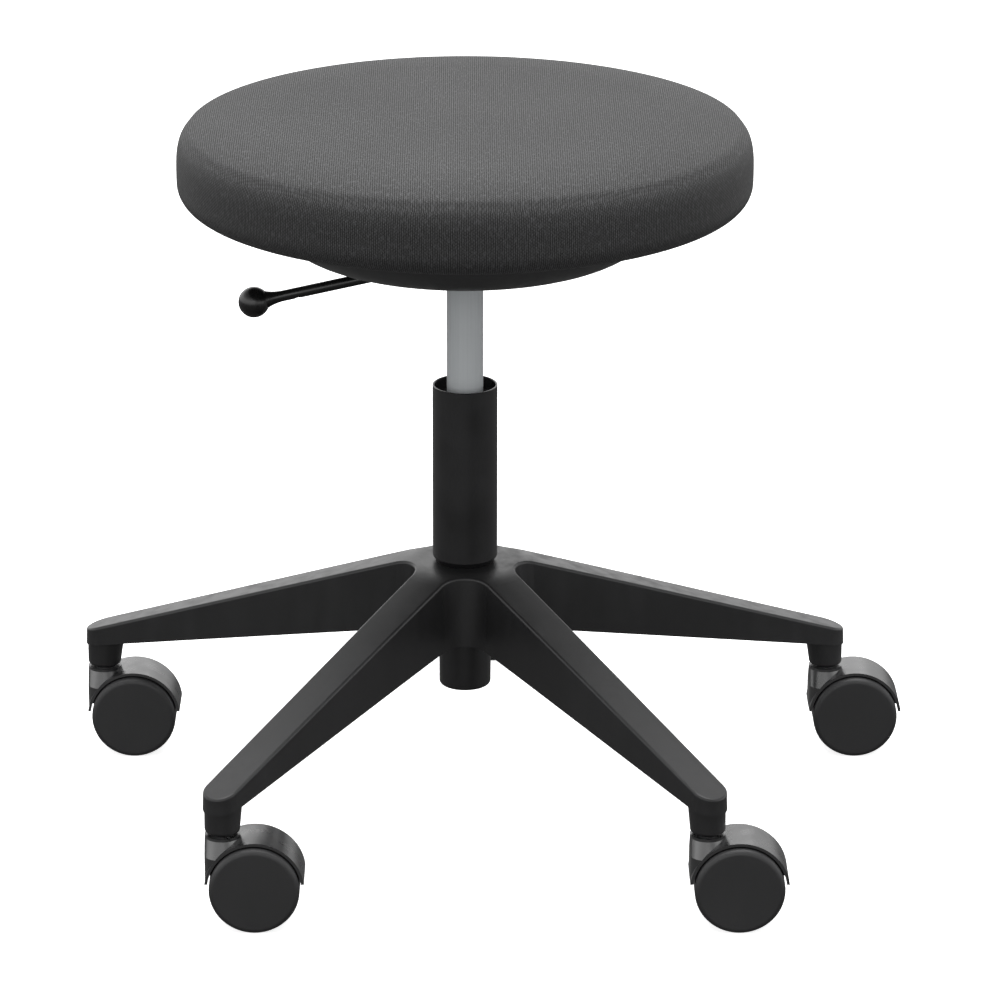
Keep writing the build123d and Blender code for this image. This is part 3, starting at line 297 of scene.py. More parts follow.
@dataclass(frozen=True)
class MouldedPlastic:
    """Injection-moulded plastic with a spark-eroded grain.

    Attributes:
        name: The material's name.
        dark: Colour in the hollows.
        light: Colour on the rubbed high spots.
        smooth: Lowest roughness.
        rough: Highest roughness.
        grain: Grain features in a metre.
        depth: Depth of the grain, in metres.
        ior: Index of refraction.
    """

    name: str
    dark: Colour
    light: Colour
    smooth: float
    rough: float
    grain: float = 1400.0
    depth: float = 0.00003
    ior: float = 1.5

    def material(self) -> bpy.types.Material:
        """Builds the material."""
        sheet = NodeSheet(self.name)
        where = sheet.place()
        cloud = sheet.noise(where, 14.0, 3.0)
        grain = sheet.noise(where, self.grain, 2.0)
        scuff = sheet.noise(sheet.place((1.0, 1.0, 0.2)), 90.0, 4.0)
        shade = sheet.maths("MULTIPLY", sheet.spread(cloud, 0.35, 1.0), sheet.spread(grain, 0.6, 1.0))
        colour = sheet.blend(shade, self.dark, self.light)
        worn = sheet.maths(
            "MULTIPLY", sheet.spread(scuff, 0.0, 1.0, 0.35, 0.75), sheet.spread(cloud, 0.4, 1.0)
        )
        rough = sheet.maths("MULTIPLY_ADD", worn, self.rough - self.smooth, self.smooth)
        sheet.set({"IOR": self.ior})
        return sheet.finish(colour, rough, sheet.bump(grain, self.depth))


@dataclass(frozen=True)
class DrawnMetal:
    """Metal with fine lines along its height and a faint cloudiness.

    Attributes:
        name: The material's name.
        dark: Colour in the drawing lines.
        light: Colour of the bright metal.
        smooth: Lowest roughness.
        rough: Highest roughness.
        metallic: 1 for bare metal, 0 for paint.
        line: Drawing lines in a metre round the piece.
    """

    name: str
    dark: Colour
    light: Colour
    smooth: float
    rough: float
    metallic: float = 1.0
    line: float = 900.0

    def material(self) -> bpy.types.Material:
        """Builds the material."""
        sheet = NodeSheet(self.name)
        lines = sheet.noise(sheet.place((1.0, 1.0, 0.012)), self.line, 3.0)
        cloud = sheet.noise(sheet.place(), 22.0, 3.0)
        pits = sheet.noise(sheet.place(), 2600.0, 1.0)
        share = sheet.maths("MULTIPLY", sheet.spread(lines, 0.3, 1.0), sheet.spread(cloud, 0.7, 1.0))
        colour = sheet.blend(share, self.dark, self.light)
        rough = sheet.spread(lines, self.rough, self.smooth, 0.25, 0.75)
        sheet.set({"Metallic": self.metallic})
        normal = sheet.bump(pits, 0.000008, sheet.bump(lines, 0.00001))
        return sheet.finish(colour, rough, normal)


@dataclass(frozen=True)
class PowderPaint:
    """Semi-gloss powder paint with a fine orange-peel surface.

    Attributes:
        name: The material's name.
        dark: Colour of the paint.
        light: Colour where dust and handling have dulled it.
        smooth: Lowest roughness.
        rough: Highest roughness.
        peel: Orange-peel features in a metre.
    """

    name: str
    dark: Colour
    light: Colour
    smooth: float
    rough: float
    peel: float = 420.0

    def material(self) -> bpy.types.Material:
        """Builds the material."""
        sheet = NodeSheet(self.name)
        where = sheet.place()
        peel = sheet.noise(where, self.peel, 1.0)
        speck = sheet.noise(where, 3000.0, 1.0)
        cloud = sheet.noise(where, 18.0, 4.0)
        colour = sheet.blend(sheet.spread(cloud, 0.0, 1.0), self.dark, self.light)
        rough = sheet.spread(cloud, self.smooth, self.rough)
        normal = sheet.bump(speck, 0.000006, sheet.bump(peel, 0.00003))
        return sheet.finish(colour, rough, normal)


@dataclass(frozen=True)
class KnitFabric:
    """Flat upholstery knit: fine ribs front to back over the top and down the sides.

    Attributes:
        name: The material's name.
        shade: Colour of the yarn in the gaps, darkened there as painted shade.
        yarn: Colour of the yarn's crowns.
        fleck: Colour of the light flecks in the yarn.
        rib: Distance from rib to rib, in metres.
        stitch: Length of one stitch, in metres.
        relief: Height of a rib's crown over its gaps, in metres.
        sheen: Weight of the yarn's soft edge light.
    """

    name: str
    shade: Colour
    yarn: Colour
    fleck: Colour
    rib: float = 0.0016
    stitch: float = 0.0024
    relief: float = 0.00022
    sheen: float = 0.08

    def material(self) -> bpy.types.Material:
        """Builds the material."""
        sheet = NodeSheet(self.name)
        where = sheet.place(uv=True)
        across, along, _ = sheet.parts(where)
        wander = sheet.maths("MULTIPLY", sheet.noise(where, 60.0, 2.0), 2.2)
        ribs = sheet.wave(across, self.rib, wander)
        rib_number = sheet.maths("ROUND", sheet.maths("DIVIDE", across, self.rib))
        column = sheet.maths("MULTIPLY", rib_number, math.pi)
        stitches = sheet.wave(along, self.stitch, column)
        crown = sheet.maths("MULTIPLY", ribs, sheet.maths("MULTIPLY_ADD", stitches, 0.45, 0.55))
        fuzz = sheet.noise(where, 2600.0, 3.0)
        dash = sheet.noise(sheet.place((1.0, 0.24, 1.0), uv=True), 900.0, 2.0)
        cloud = sheet.noise(where, 9.0, 3.0)
        height = sheet.maths("MULTIPLY_ADD", fuzz, 0.35, crown)
        # The gaps between ribs take the shade colour: painted shade in the knit's hollows, laid over the ribs'
        # own pattern.
        base = sheet.blend(sheet.spread(crown, 0.0, 1.0, 0.1, 0.8), self.shade, self.yarn)
        flecked = sheet.blend(sheet.spread(dash, 0.0, 0.42, 0.5, 0.7), base, self.fleck)
        dulled = sheet.blend(sheet.spread(cloud, 0.0, 0.16), flecked, self.shade)
        rough = sheet.spread(fuzz, 0.82, 0.96)
        sheet.set({"Sheen Weight": self.sheen, "Sheen Roughness": 0.45, "Specular IOR Level": 0.25})
        return sheet.finish(dulled, rough, sheet.bump(height, self.relief))


@dataclass(frozen=True)
class OpenFoam:
    """Cut seat foam with open cells."""

    name: str = "seat_foam_look"
    pale: Colour = (0.62, 0.53, 0.36)
    deep: Colour = (0.42, 0.34, 0.2)

    def material(self) -> bpy.types.Material:
        """Builds the material."""
        sheet = NodeSheet(self.name)
        where = sheet.place()
        cells = sheet.cells(where, 700.0)
        colour = sheet.blend(sheet.spread(cells, 0.0, 1.0, 0.1, 0.6), self.deep, self.pale)
        return sheet.finish(colour, sheet.spread(cells, 0.85, 0.97), sheet.bump(cells, 0.0005))


@dataclass(frozen=True)
class BirchPly:
    """Birch plywood: face veneer with long grain, and glued layers at the edge."""

    name: str = "plywood_look"
    pale: Colour = (0.62, 0.42, 0.23)
    deep: Colour = (0.4, 0.23, 0.1)
    layer: float = 0.0024

    def material(self) -> bpy.types.Material:
        """Builds the material."""
        sheet = NodeSheet(self.name)
        grain = sheet.noise(sheet.place((1.0, 0.05, 1.0)), 190.0, 5.0)
        pores = sheet.noise(sheet.place((1.0, 0.03, 1.0)), 1300.0, 2.0)
        cloud = sheet.noise(sheet.place(), 8.0, 2.0)
        _, _, height = sheet.parts(sheet.place())
        layers = sheet.spread(sheet.wave(height, 2 * self.layer), 0.0, 0.5, 0.3, 0.7)
        share = sheet.maths("MULTIPLY", sheet.spread(grain, 0.2, 1.0), sheet.spread(cloud, 0.75, 1.0))
        colour = sheet.blend(layers, sheet.blend(share, self.deep, self.pale), self.deep)
        return sheet.finish(colour, sheet.spread(pores, 0.55, 0.75), sheet.bump(pores, 0.00006))


@dataclass(frozen=True)
class SealRubber:
    """Soft black rubber with a dusty bloom."""

    name: str = "seal_rubber_look"
    dark: Colour = (0.012, 0.012, 0.012)
    bloom: Colour = (0.035, 0.035, 0.034)

    def material(self) -> bpy.types.Material:
        """Builds the material."""
        sheet = NodeSheet(self.name)
        where = sheet.place()
        dust = sheet.noise(where, 260.0, 4.0)
        colour = sheet.blend(sheet.spread(dust, 0.0, 1.0), self.dark, self.bloom)
        return sheet.finish(colour, sheet.spread(dust, 0.6, 0.85), sheet.bump(dust, 0.00003))


FINISHES: dict[Slot, object] = {
    Slot.SEAT_FABRIC: KnitFabric(
        # The first colour is the knit's gaps, darkened as painted shade; the others are the yarn and its
        # flecks.
        "seat_fabric_look", (0.022, 0.022, 0.022), (0.085, 0.085, 0.086), (0.138, 0.139, 0.145)
    ),
    Slot.SEAT_FOAM: OpenFoam(),
    Slot.PLYWOOD: BirchPly(),
    Slot.COVER_PLASTIC: MouldedPlastic(
        "cover_plastic_look", (0.05, 0.05, 0.051), (0.07, 0.07, 0.071), 0.4, 0.55
    ),
    Slot.BASE_NYLON: MouldedPlastic(
        "base_nylon_look", (0.018, 0.018, 0.0185), (0.026, 0.026, 0.027), 0.34, 0.48, ior=1.42
    ),
    Slot.TUBE_PAINT: PowderPaint(
        "tube_paint_look", (0.009, 0.009, 0.0095), (0.015, 0.015, 0.016), 0.28, 0.4
    ),
    Slot.PLATE_PAINT: PowderPaint(
        "plate_paint_look", (0.012, 0.012, 0.012), (0.02, 0.02, 0.02), 0.4, 0.55
    ),
    Slot.CYLINDER_STEEL: DrawnMetal(
        "cylinder_steel_look", (0.84, 0.88, 0.9), (0.93, 0.97, 0.99), 0.3, 0.42, metallic=0.05
    ),
    Slot.BRIGHT_STEEL: DrawnMetal("bright_steel_look", (0.42, 0.42, 0.43), (0.62, 0.62, 0.64), 0.22, 0.36),
    Slot.ROD_CHROME: DrawnMetal("rod_chrome_look", (0.6, 0.6, 0.62), (0.78, 0.78, 0.8), 0.06, 0.14),
    Slot.BUSH_PLASTIC: MouldedPlastic(
        "bush_plastic_look", (0.01, 0.01, 0.01), (0.018, 0.018, 0.018), 0.4, 0.5
    ),
    Slot.VALVE_BRASS: DrawnMetal("valve_brass_look", (0.5, 0.34, 0.13), (0.72, 0.52, 0.22), 0.2, 0.34),
    Slot.SEAL_RUBBER: SealRubber(),
    Slot.KNOB_PLASTIC: MouldedPlastic(
        "knob_plastic_look", (0.008, 0.008, 0.008), (0.014, 0.014, 0.014), 0.24, 0.36
    ),
    Slot.HOOD_PLASTIC: MouldedPlastic(
        "hood_plastic_look", (0.01, 0.01, 0.0105), (0.017, 0.017, 0.018), 0.27, 0.36, ior=1.95
    ),
    Slot.WHEEL_PLASTIC: MouldedPlastic(
        "wheel_plastic_look", (0.021, 0.021, 0.022), (0.029, 0.029, 0.03), 0.5, 0.65
    ),
}


class Finishes:
    """The stool's materials, each made once, by slot."""

    def __init__(self) -> None:
        """Builds every material."""
        self.made = {slot: finish.material() for slot, finish in FINISHES.items()}

    def dress(self, piece: bpy.types.Object, slot: Slot) -> None:
        """Gives a piece one finish.

        Args:
            piece: The object.
            slot: The finish's slot.
        """
        piece.data.materials.clear()
        piece.data.materials.append(self.made[slot])

    def dress_nodes(self) -> None:
        """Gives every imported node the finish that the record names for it."""
        for row in frame["record"]["subparts"]:
            self.dress(frame["nodes"][row["node"]], Slot(row["material_slot"]))
            log.info("dressed %s", row["node"])


# ---- modelling helpers ----------------------------------------------------------------------
def make_active(piece: bpy.types.Object) -> None:
    """Deselects everything, then selects one piece and makes it the active one.

    Args:
        piece: The object.
    """
    bpy.ops.object.select_all(action="DESELECT")
    piece.select_set(True)
    bpy.context.view_layer.objects.active = piece


def apply_modifier(piece: bpy.types.Object, name: str) -> None:
    """Applies one of a piece's modifiers.

    Args:
        piece: The object.
        name: The modifier's name.
    """
    make_active(piece)
    bpy.ops.object.modifier_apply(modifier=name)


def points_of(piece: bpy.types.Object) -> np.ndarray:
    """Gives a mesh's vertices as rows of X, Y and Z."""
    places = np.zeros(len(piece.data.vertices) * 3)
    piece.data.vertices.foreach_get("co", places)
    return places.reshape(-1, 3)


def move_points(piece: bpy.types.Object, places: np.ndarray) -> None:
    """Puts a mesh's vertices at new places."""
    piece.data.vertices.foreach_set("co", places.ravel())
    piece.data.update()


def smoothstep(value: np.ndarray, start: float, end: float) -> np.ndarray:
    """Rises smoothly from 0 at start to 1 at end."""
    share = np.clip((value - start) / (end - start), 0.0, 1.0)
    return share * share * (3.0 - 2.0 * share)


# ---- seat -----------------------------------------------------------------------------------
# Points of the cushion's edge from the upright side up to the level top. Each is a share of a way
# in from the rim and a share of a height: edge_inset and the rise over the side, then edge_inset
# and edge_drop, rim_inset and rim_drop, and crown_inset and rim_drop.
SIDE_STEPS: Stops = ((0.0, 0.0), (0.12, 0.4), (0.42, 0.75), (0.82, 0.93))
EDGE_STEPS: Stops = ((1.0, 1.0), (1.16, 0.83), (1.48, 0.68))
RIM_STEPS: Stops = ((0.76, 1.4), (1.0, 1.0))
CROWN_STEPS: Stops = ((0.62, 0.35), (1.0, 0.0))
FOOT_ANGLES = (0, 15, 30, 45, 60, 75, 90)


@dataclass
class SeatCushion:
    """The upholstered seat: foam in knitted fabric, drawn over the board and turned under it.

    Attributes:
        segments: Corners of the starting ring.
        shrink: How much smaller the shape starts, since the pressure swells it.
        foot_round: Radius where the side turns under.
        side_rise: Height of the upright side's top over the foot.
        edge_inset: How far in the turning edge is, half way over.
        edge_drop: How far that point lies below the top.
        rim_inset: How far in the crown starts.
        rim_drop: How far the crown's start lies below the top.
        crown_inset: How far in the top is level.
        dome: Rise of the middle over the level top, in rim drops.
        corner_cuts: How often the outline's corners are cut off to round it.
        voxel: Size of the remeshed faces.
        pressure: Pressure of the foam against the fabric.
        frames: Length of the simulation.
        swell: The most that a point may move out.
        slack: Share of the fabric's unevenness that is left when it is drawn tight.
        bands: Bands round the edge, each drawn tight by its own mean.
        under_deg: Angle below the level past which the fabric isn't drawn.
        fade_start: Where the crown's pull starts to give way to the edge's, in crown insets.
        fade_end: Where the edge's pull is full, in crown insets.
        fabric: Thickness of the turned-under fabric.
        gap: Room round the board.
        hem_gap: Room between the hem and the under cover.
        pleats: Folds in the hem.
        pleat_depth: How far a fold stands down.
        pleat_edge: Width of the hem whose folds are at their deepest.
        pleat_sharp: Power that sharpens the folds; 1 leaves them round.
        lean: Least slope of a face's normal where the knit runs over the top or underside.
        smooth_deg: Angle between faces that stays a sharp edge.
        rib: Distance from rib to rib of the knit.
    """

    segments: int = 128
    shrink: float = 0.0022
    foot_round: float = 0.015
    side_rise: float = 0.0325
    edge_inset: float = 0.007
    edge_drop: float = 0.011
    rim_inset: float = 0.0236
    rim_drop: float = 0.0037
    crown_inset: float = 0.0626
    dome: float = 0.15
    corner_cuts: int = 4
    voxel: float = 0.0045
    pressure: float = 4.0
    frames: int = 20
    swell: float = 0.003
    slack: float = 0.1
    bands: int = 182
    under_deg: float = 80.0
    fade_start: float = 0.8
    fade_end: float = 0.2
    fabric: float = 0.0012
    gap: float = 0.0004
    hem_gap: float = 0.0012
    pleats: int = 52
    pleat_depth: float = 0.0014
    pleat_edge: float = 0.004
    pleat_sharp: float = 0.7
    lean: float = 0.55
    smooth_deg: float = 50.0
    rib: float = 0.0016

    def outline(self, shrink: float) -> list[tuple[float, float]]:
        """Gives the cushion's outline from the foot up, as radius and height.

        Args:
            shrink: How much smaller than the finished cushion it is.

        Returns:
            The outline's points.
        """
        low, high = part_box("seat_cover")
        radius, bottom, top = high.x - shrink, low.z + shrink, high.z - shrink
        turn = self.foot_round - shrink
        quarter = [math.radians(angle) for angle in FOOT_ANGLES]
        foot = [(radius - turn + turn * math.sin(a), bottom + turn - turn * math.cos(a)) for a in quarter]
        side_top = low.z + self.side_rise
        rise = top - self.edge_drop - side_top
        side = [(radius - way * self.edge_inset, side_top + up * rise) for way, up in SIDE_STEPS]
        crown = []
        for steps, inset, drop in (
            (EDGE_STEPS, self.edge_inset, self.edge_drop),
            (RIM_STEPS, self.rim_inset, self.rim_drop),
            (CROWN_STEPS, self.crown_inset, self.rim_drop),
        ):
            crown += [(radius - way * inset, top - down * drop) for way, down in steps]
        crown.append((0.5 * radius, top + self.dome * self.rim_drop))
        return foot + side + crown

    def raise_body(self) -> bpy.types.Object:
        """Extrudes a filled ring from the foot up through the outline.

        Returns:
            The closed body.
        """
        rings = self.outline(self.shrink)
        radius, height = rings[0]
        bpy.ops.object.select_all(action="DESELECT")
        bpy.ops.mesh.primitive_circle_add(
            vertices=self.segments, radius=radius, fill_type="NGON", location=(0.0, 0.0, height)
        )
        body = bpy.context.object
        body.name = "seat_cushion"
        bpy.ops.object.transform_apply(location=True, rotation=True, scale=True)
        bpy.ops.object.mode_set(mode="EDIT")
        for next_radius, next_height in rings[1:]:
            rise = (0.0, 0.0, next_height - height)
            scale = next_radius / radius
            bpy.ops.mesh.extrude_region_move(TRANSFORM_OT_translate={"value": rise})
            bpy.ops.transform.resize(value=(scale, scale, 1.0), center_override=(0.0, 0.0, next_height))
            radius, height = next_radius, next_height
        bpy.ops.mesh.select_all(action="SELECT")
        bpy.ops.mesh.normals_make_consistent(inside=False)
        bpy.ops.object.mode_set(mode="OBJECT")
        return body

    def remesh(self, body: bpy.types.Object) -> None:
        """Gives the body even faces, as the cloth needs."""
        remesh = body.modifiers.new("remesh", "REMESH")
        remesh.mode = "VOXEL"
        remesh.voxel_size = self.voxel
        apply_modifier(body, remesh.name)

    def inflate(self, body: bpy.types.Object) -> None:
        """Presses the fabric out by cloth simulation, with its underside held on the board.

        Args:
            body: The remeshed body, which is changed.
        """
        rest = points_of(body)
        held = np.flatnonzero(rest[:, 2] < rest[:, 2].min() + self.voxel / 2)
        group = body.vertex_groups.new(name="on_board")
        group.add([int(index) for index in held], 1.0, "REPLACE")
        cloth = body.modifiers.new("cloth", "CLOTH")
        cloth.settings.quality = 4
        cloth.settings.use_pressure = True
        cloth.settings.uniform_pressure_force = self.pressure
        cloth.settings.vertex_group_mass = group.name
        cloth.settings.effector_weights.gravity = 0.0
        cloth.point_cache.frame_start = 1
        cloth.point_cache.frame_end = self.frames
        for step in range(1, self.frames + 1):
            bpy.context.scene.frame_set(step)
        apply_modifier(body, cloth.name)
        moved = points_of(body) - rest
        length = np.linalg.norm(moved, axis=1, keepdims=True)
        move_points(body, rest + moved * np.minimum(1.0, self.swell / np.maximum(length, 1e-9)))
        bpy.context.scene.frame_set(1)
        body.vertex_groups.clear()

    def curve(self) -> np.ndarray:
        """Gives the finished outline with its corners rounded, as rows of radius and height.

        Returns:
            The points, from the foot to the middle of the top.
        """
        middle = (0.0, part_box("seat_cover")[1].z + self.dome * self.rim_drop)
        points = np.array([*self.outline(0.0), middle])
        for _ in range(self.corner_cuts):
            near = 0.75 * points[:-1] + 0.25 * points[1:]
            far = 0.25 * points[:-1] + 0.75 * points[1:]
            between = np.stack((near, far), axis=1).reshape(-1, 2)
            points = np.concatenate((points[:1], between, points[-1:]))
        return points

    def draw_tight(self, body: bpy.types.Object) -> None:
        """Pulls the fabric onto the cushion's outline, with a little of its unevenness left.

        Near the edge a point moves along its line from a ring inside the pad. On top it moves
        straight up or down.

        Args:
            body: The body, which is changed.
        """
        low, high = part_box("seat_cover")
        core = np.array((high.x - 2.0 * self.foot_round, 0.45 * low.z + 0.55 * high.z))
        curve = self.curve()
        rays = curve - core
        ray_turn = np.arctan2(rays[:, 1], rays[:, 0])
        places = points_of(body)
        reach = np.hypot(places[:, 0], places[:, 1])
        spots = np.stack((reach, places[:, 2]), axis=1) - core
        turn = np.arctan2(spots[:, 1], spots[:, 0])
        length = np.linalg.norm(spots, axis=1)
        target = np.interp(turn, ray_turn, np.linalg.norm(rays, axis=1))
        uneven = np.clip(length - target, -self.swell, self.swell)
        band = np.digitize(turn, np.linspace(-math.pi, math.pi, self.bands - 1))
        filled = np.maximum(np.bincount(band, minlength=self.bands), 1)
        mean = np.bincount(band, uneven, self.bands) / filled
        wanted = target + self.slack * (uneven - mean[band])
        fade_start = core[0] - self.fade_start * self.crown_inset
        share = smoothstep(reach, fade_start, core[0] - self.fade_end * self.crown_inset)
        share = np.where(turn > -math.radians(self.under_deg), share, 0.0)
        drawn = spots * (1.0 + share * (wanted / length - 1.0))[:, None] + core
        crown = curve[ray_turn > math.pi / 4][::-1]
        level = np.interp(reach, crown[:, 0], crown[:, 1])
        level += self.slack * np.clip(places[:, 2] - level, -self.swell, self.swell)
        upper = turn > 0.0
        drawn[upper, 1] = (share * drawn[:, 1] + (1.0 - share) * level)[upper]
        scale = drawn[:, 0] / np.maximum(reach, 1e-9)
        move_points(body, np.stack((places[:, 0] * scale, places[:, 1] * scale, drawn[:, 1]), axis=1))

    def settle(self, body: bpy.types.Object) -> None:
        """Subdivides the pad once, and lays its underside flat at the fabric's lower face."""
        smooth = body.modifiers.new("smooth", "SUBSURF")
        smooth.levels = 1
        smooth.render_levels = 1
        apply_modifier(body, smooth.name)
        self.draw_tight(body)
        places = points_of(body)
        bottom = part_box("seat_cover")[0].z
        radius = np.hypot(places[:, 0], places[:, 1])
        lower = (places[:, 2] < bottom + 2 * self.shrink) & (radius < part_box("seat_board")[1].x + self.shrink)
        places[lower, 2] = bottom
        places[:, 2] = np.maximum(places[:, 2], bottom)
        move_points(body, places)

    def cut_away(self, body: bpy.types.Object, radius: float, bottom: float, top: float) -> None:
        """Cuts a round recess out of the underside.

        Args:
            body: The body, which is changed.
            radius: The recess's radius.
            bottom: Its lower end.
            top: Its upper end.
        """
        bpy.ops.object.select_all(action="DESELECT")
        bpy.ops.mesh.primitive_cylinder_add(
            vertices=2 * self.segments,
            radius=radius,
            depth=top - bottom,
            location=(0.0, 0.0, (top + bottom) / 2),
        )
        plug = bpy.context.object
        cut = body.modifiers.new("cut", "BOOLEAN")
        cut.operation = "DIFFERENCE"
        cut.solver = "EXACT"
        cut.object = plug
        apply_modifier(body, cut.name)
        bpy.data.objects.remove(plug)

    def open_underside(self, body: bpy.types.Object) -> None:
        """Makes room for the board, and opens the turned-under fabric round the under cover."""
        board_low, board_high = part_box("seat_board")
        cover_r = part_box("under_cover")[1].x
        underside = board_low.z - self.gap / 2
        self.cut_away(body, board_high.x + self.gap, underside, board_high.z + self.gap)
        self.cut_away(body, cover_r + self.hem_gap, board_low.z - 8 * self.fabric, underside + self.fabric)

    def pleat(self, body: bpy.types.Object) -> None:
        """Presses folds into the turned-under fabric, deepest at its inner edge."""
        places = points_of(body)
        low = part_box("seat_cover")[0]
        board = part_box("seat_board")[1].x
        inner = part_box("under_cover")[1].x + self.hem_gap
        radius = np.hypot(places[:, 0], places[:, 1])
        angle = np.arctan2(places[:, 1], places[:, 0])
        wander = 0.5 * np.sin(3 * angle + 1.0) + 0.35 * np.sin(7 * angle)
        fold = np.sin(self.pleats * angle + wander)
        sharp = np.sign(fold) * np.abs(fold) ** self.pleat_sharp
        fade = 1.0 - smoothstep(radius, inner + self.pleat_edge, board)
        depth = self.pleat_depth * fade * (0.5 - 0.5 * sharp)
        skin = (places[:, 2] < low.z + 0.5 * self.fabric) & (radius < board)
        places[skin, 2] -= depth[skin]
        move_points(body, places)

    def unwrap(self, body: bpy.types.Object) -> None:
        """Lays the knit on the piece in metres: front to back on top, and down the sides and under."""
        mesh = body.data
        places = points_of(body)
        normals = np.zeros(len(mesh.polygons) * 3)
        mesh.polygons.foreach_get("normal", normals)
        slope = normals.reshape(-1, 3)[:, 2]
        centres = np.zeros(len(mesh.polygons) * 3)
        mesh.polygons.foreach_get("center", centres)
        centres = centres.reshape(-1, 3)
        counts = np.zeros(len(mesh.polygons), dtype=int)
        mesh.polygons.foreach_get("loop_total", counts)
        corners = np.zeros(len(mesh.loops), dtype=int)
        mesh.loops.foreach_get("vertex_index", corners)
        slope = np.repeat(slope, counts)
        middle = np.repeat(np.arctan2(centres[:, 0], -centres[:, 1]), counts)
        spots = places[corners]
        turn = np.arctan2(spots[:, 0], -spots[:, 1]) - middle
        turn = middle + (turn + math.pi) % math.tau - math.pi
        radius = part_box("seat_cover")[1].x
        ribs_round = round(math.tau * radius / self.rib)
        round_side = turn * ribs_round * self.rib / math.tau
        reach = np.hypot(spots[:, 0], spots[:, 1])
        across = np.where(slope > self.lean, spots[:, 0], round_side)
        below = np.where(slope < -self.lean, reach, spots[:, 2])
        along = np.where(slope > self.lean, spots[:, 1], below)
        while mesh.uv_layers:
            mesh.uv_layers.remove(mesh.uv_layers[0])
        layer = mesh.uv_layers.new(name="knit")
        layer.data.foreach_set("uv", np.stack((across, along), axis=1).ravel())

    def build(self, finishes: Finishes) -> None:
        """Makes the cushion, dresses it and hands it to the frame.

        Args:
            finishes: The stool's materials.
        """
        body = self.raise_body()
        self.remesh(body)
        self.inflate(body)
        self.settle(body)
        self.open_underside(body)
        self.pleat(body)
        self.unwrap(body)
        make_active(body)
        bpy.ops.object.shade_smooth_by_angle(angle=math.radians(self.smooth_deg))
        finishes.dress(body, Slot.SEAT_FABRIC)
        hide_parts("seat_cover", "seat_foam")
        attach(body, "seat")
        log.info("built %s with %d faces", body.name, len(body.data.polygons))


@dataclass
class HemStaples:
    """Wire staples that hold the turned-under fabric to the board.

    Attributes:
        count: Number of staples.
        width: Length of a staple's back.
        wire: Width of the wire.
        flat: Height of the wire, in widths.
        leg: Length of a leg.
        edge_round: Width of the rounded edges, in wire widths.
        inset: Distance of the staples' ring from the hem's inner edge.
        sink: How far a staple's back is pressed into the folds.
        tilt_deg: The most that a staple is turned from the ring's line.
        tilt_step: Turn of the tilt's wave from one staple to the next, in radians.
    """

    count: int = 40
    width: float = 0.0098
    wire: float = 0.0011
    flat: float = 0.6
    leg: float = 0.0022
    edge_round: float = 0.18
    inset: float = 0.0125
    sink: float = 0.0003
    tilt_deg: float = 9.0
    tilt_step: float = 2.4

    def first(self) -> bpy.types.Object:
        """Makes one staple at the origin, its back down and its legs up.

        Returns:
            The staple.
        """
        bpy.ops.object.select_all(action="DESELECT")
        bpy.ops.mesh.primitive_cube_add(size=1.0)
        staple = bpy.context.object
        bpy.ops.object.mode_set(mode="EDIT")
        section = (self.wire, self.wire, self.flat * self.wire)
        bpy.ops.transform.resize(value=section, center_override=(0.0, 0.0, 0.0))
        bpy.ops.object.mode_set(mode="OBJECT")
        half = self.width / 2 - 1.5 * self.wire
        for side in (1.0, -1.0):
            self.pull(staple, Vector((side, 0.0, 0.0)), Vector((side * half, 0.0, 0.0)))
            self.pull(staple, Vector((side, 0.0, 0.0)), Vector((side * self.wire, 0.0, 0.0)))
            self.pull(staple, Vector((0.0, 0.0, 1.0)), Vector((0.0, 0.0, self.leg)), side)
        bevel = staple.modifiers.new("round", "BEVEL")
        bevel.width = self.edge_round * self.wire
        bevel.segments = 1
        apply_modifier(staple, bevel.name)
        return staple

    @staticmethod
    def pull(staple: bpy.types.Object, way: Vector, move: Vector, end: float = 0.0) -> None:
        """Extrudes the outermost face that points one way.

        Args:
            staple: The staple.
            way: Direction that the face points.
            move: How far the face goes.
            end: The end of the back that the face is on, or 0 for either.
        """
        make_active(staple)
        bpy.ops.object.mode_set(mode="EDIT")
        bpy.ops.mesh.select_all(action="DESELECT")
        bpy.ops.object.mode_set(mode="OBJECT")
        faces = [face for face in staple.data.polygons if face.normal.dot(way) > 0.9]
        reach = Vector((end, 0.0, 0.0)) if end else way
        max(faces, key=lambda face: face.center.dot(reach)).select = True
        bpy.ops.object.mode_set(mode="EDIT")
        bpy.ops.mesh.extrude_region_move(TRANSFORM_OT_translate={"value": tuple(move)})
        bpy.ops.object.mode_set(mode="OBJECT")

    def build(self, finishes: Finishes) -> None:
        """Makes the ring of staples, dresses it and hands it to the frame.

        Args:
            finishes: The stool's materials.
        """
        staple = self.first()
        ring_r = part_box("under_cover")[1].x + self.inset
        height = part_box("seat_cover")[0].z - self.wire * 0.5 * self.flat + self.sink
        copies = []
        for index in range(self.count):
            angle = math.tau * index / self.count
            tilt = math.radians(self.tilt_deg) * math.sin(self.tilt_step * index)
            copy = bpy.data.objects.new("staple", staple.data.copy())
            bpy.context.scene.collection.objects.link(copy)
            stand = Matrix.Translation((ring_r * math.cos(angle), ring_r * math.sin(angle), height))
            copy.data.transform(stand @ Matrix.Rotation(angle + math.pi / 2 + tilt, 4, "Z"))
            copies.append(copy)
        bpy.data.objects.remove(staple)
        bpy.ops.object.select_all(action="DESELECT")
        for copy in copies:
            copy.select_set(True)
        bpy.context.view_layer.objects.active = copies[0]
        bpy.ops.object.join()
        ring = bpy.context.object
        ring.name = "hem_staples"
        finishes.dress(ring, Slot.BRIGHT_STEEL)
        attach(ring, "seat")
        log.info("built %s", ring.name)


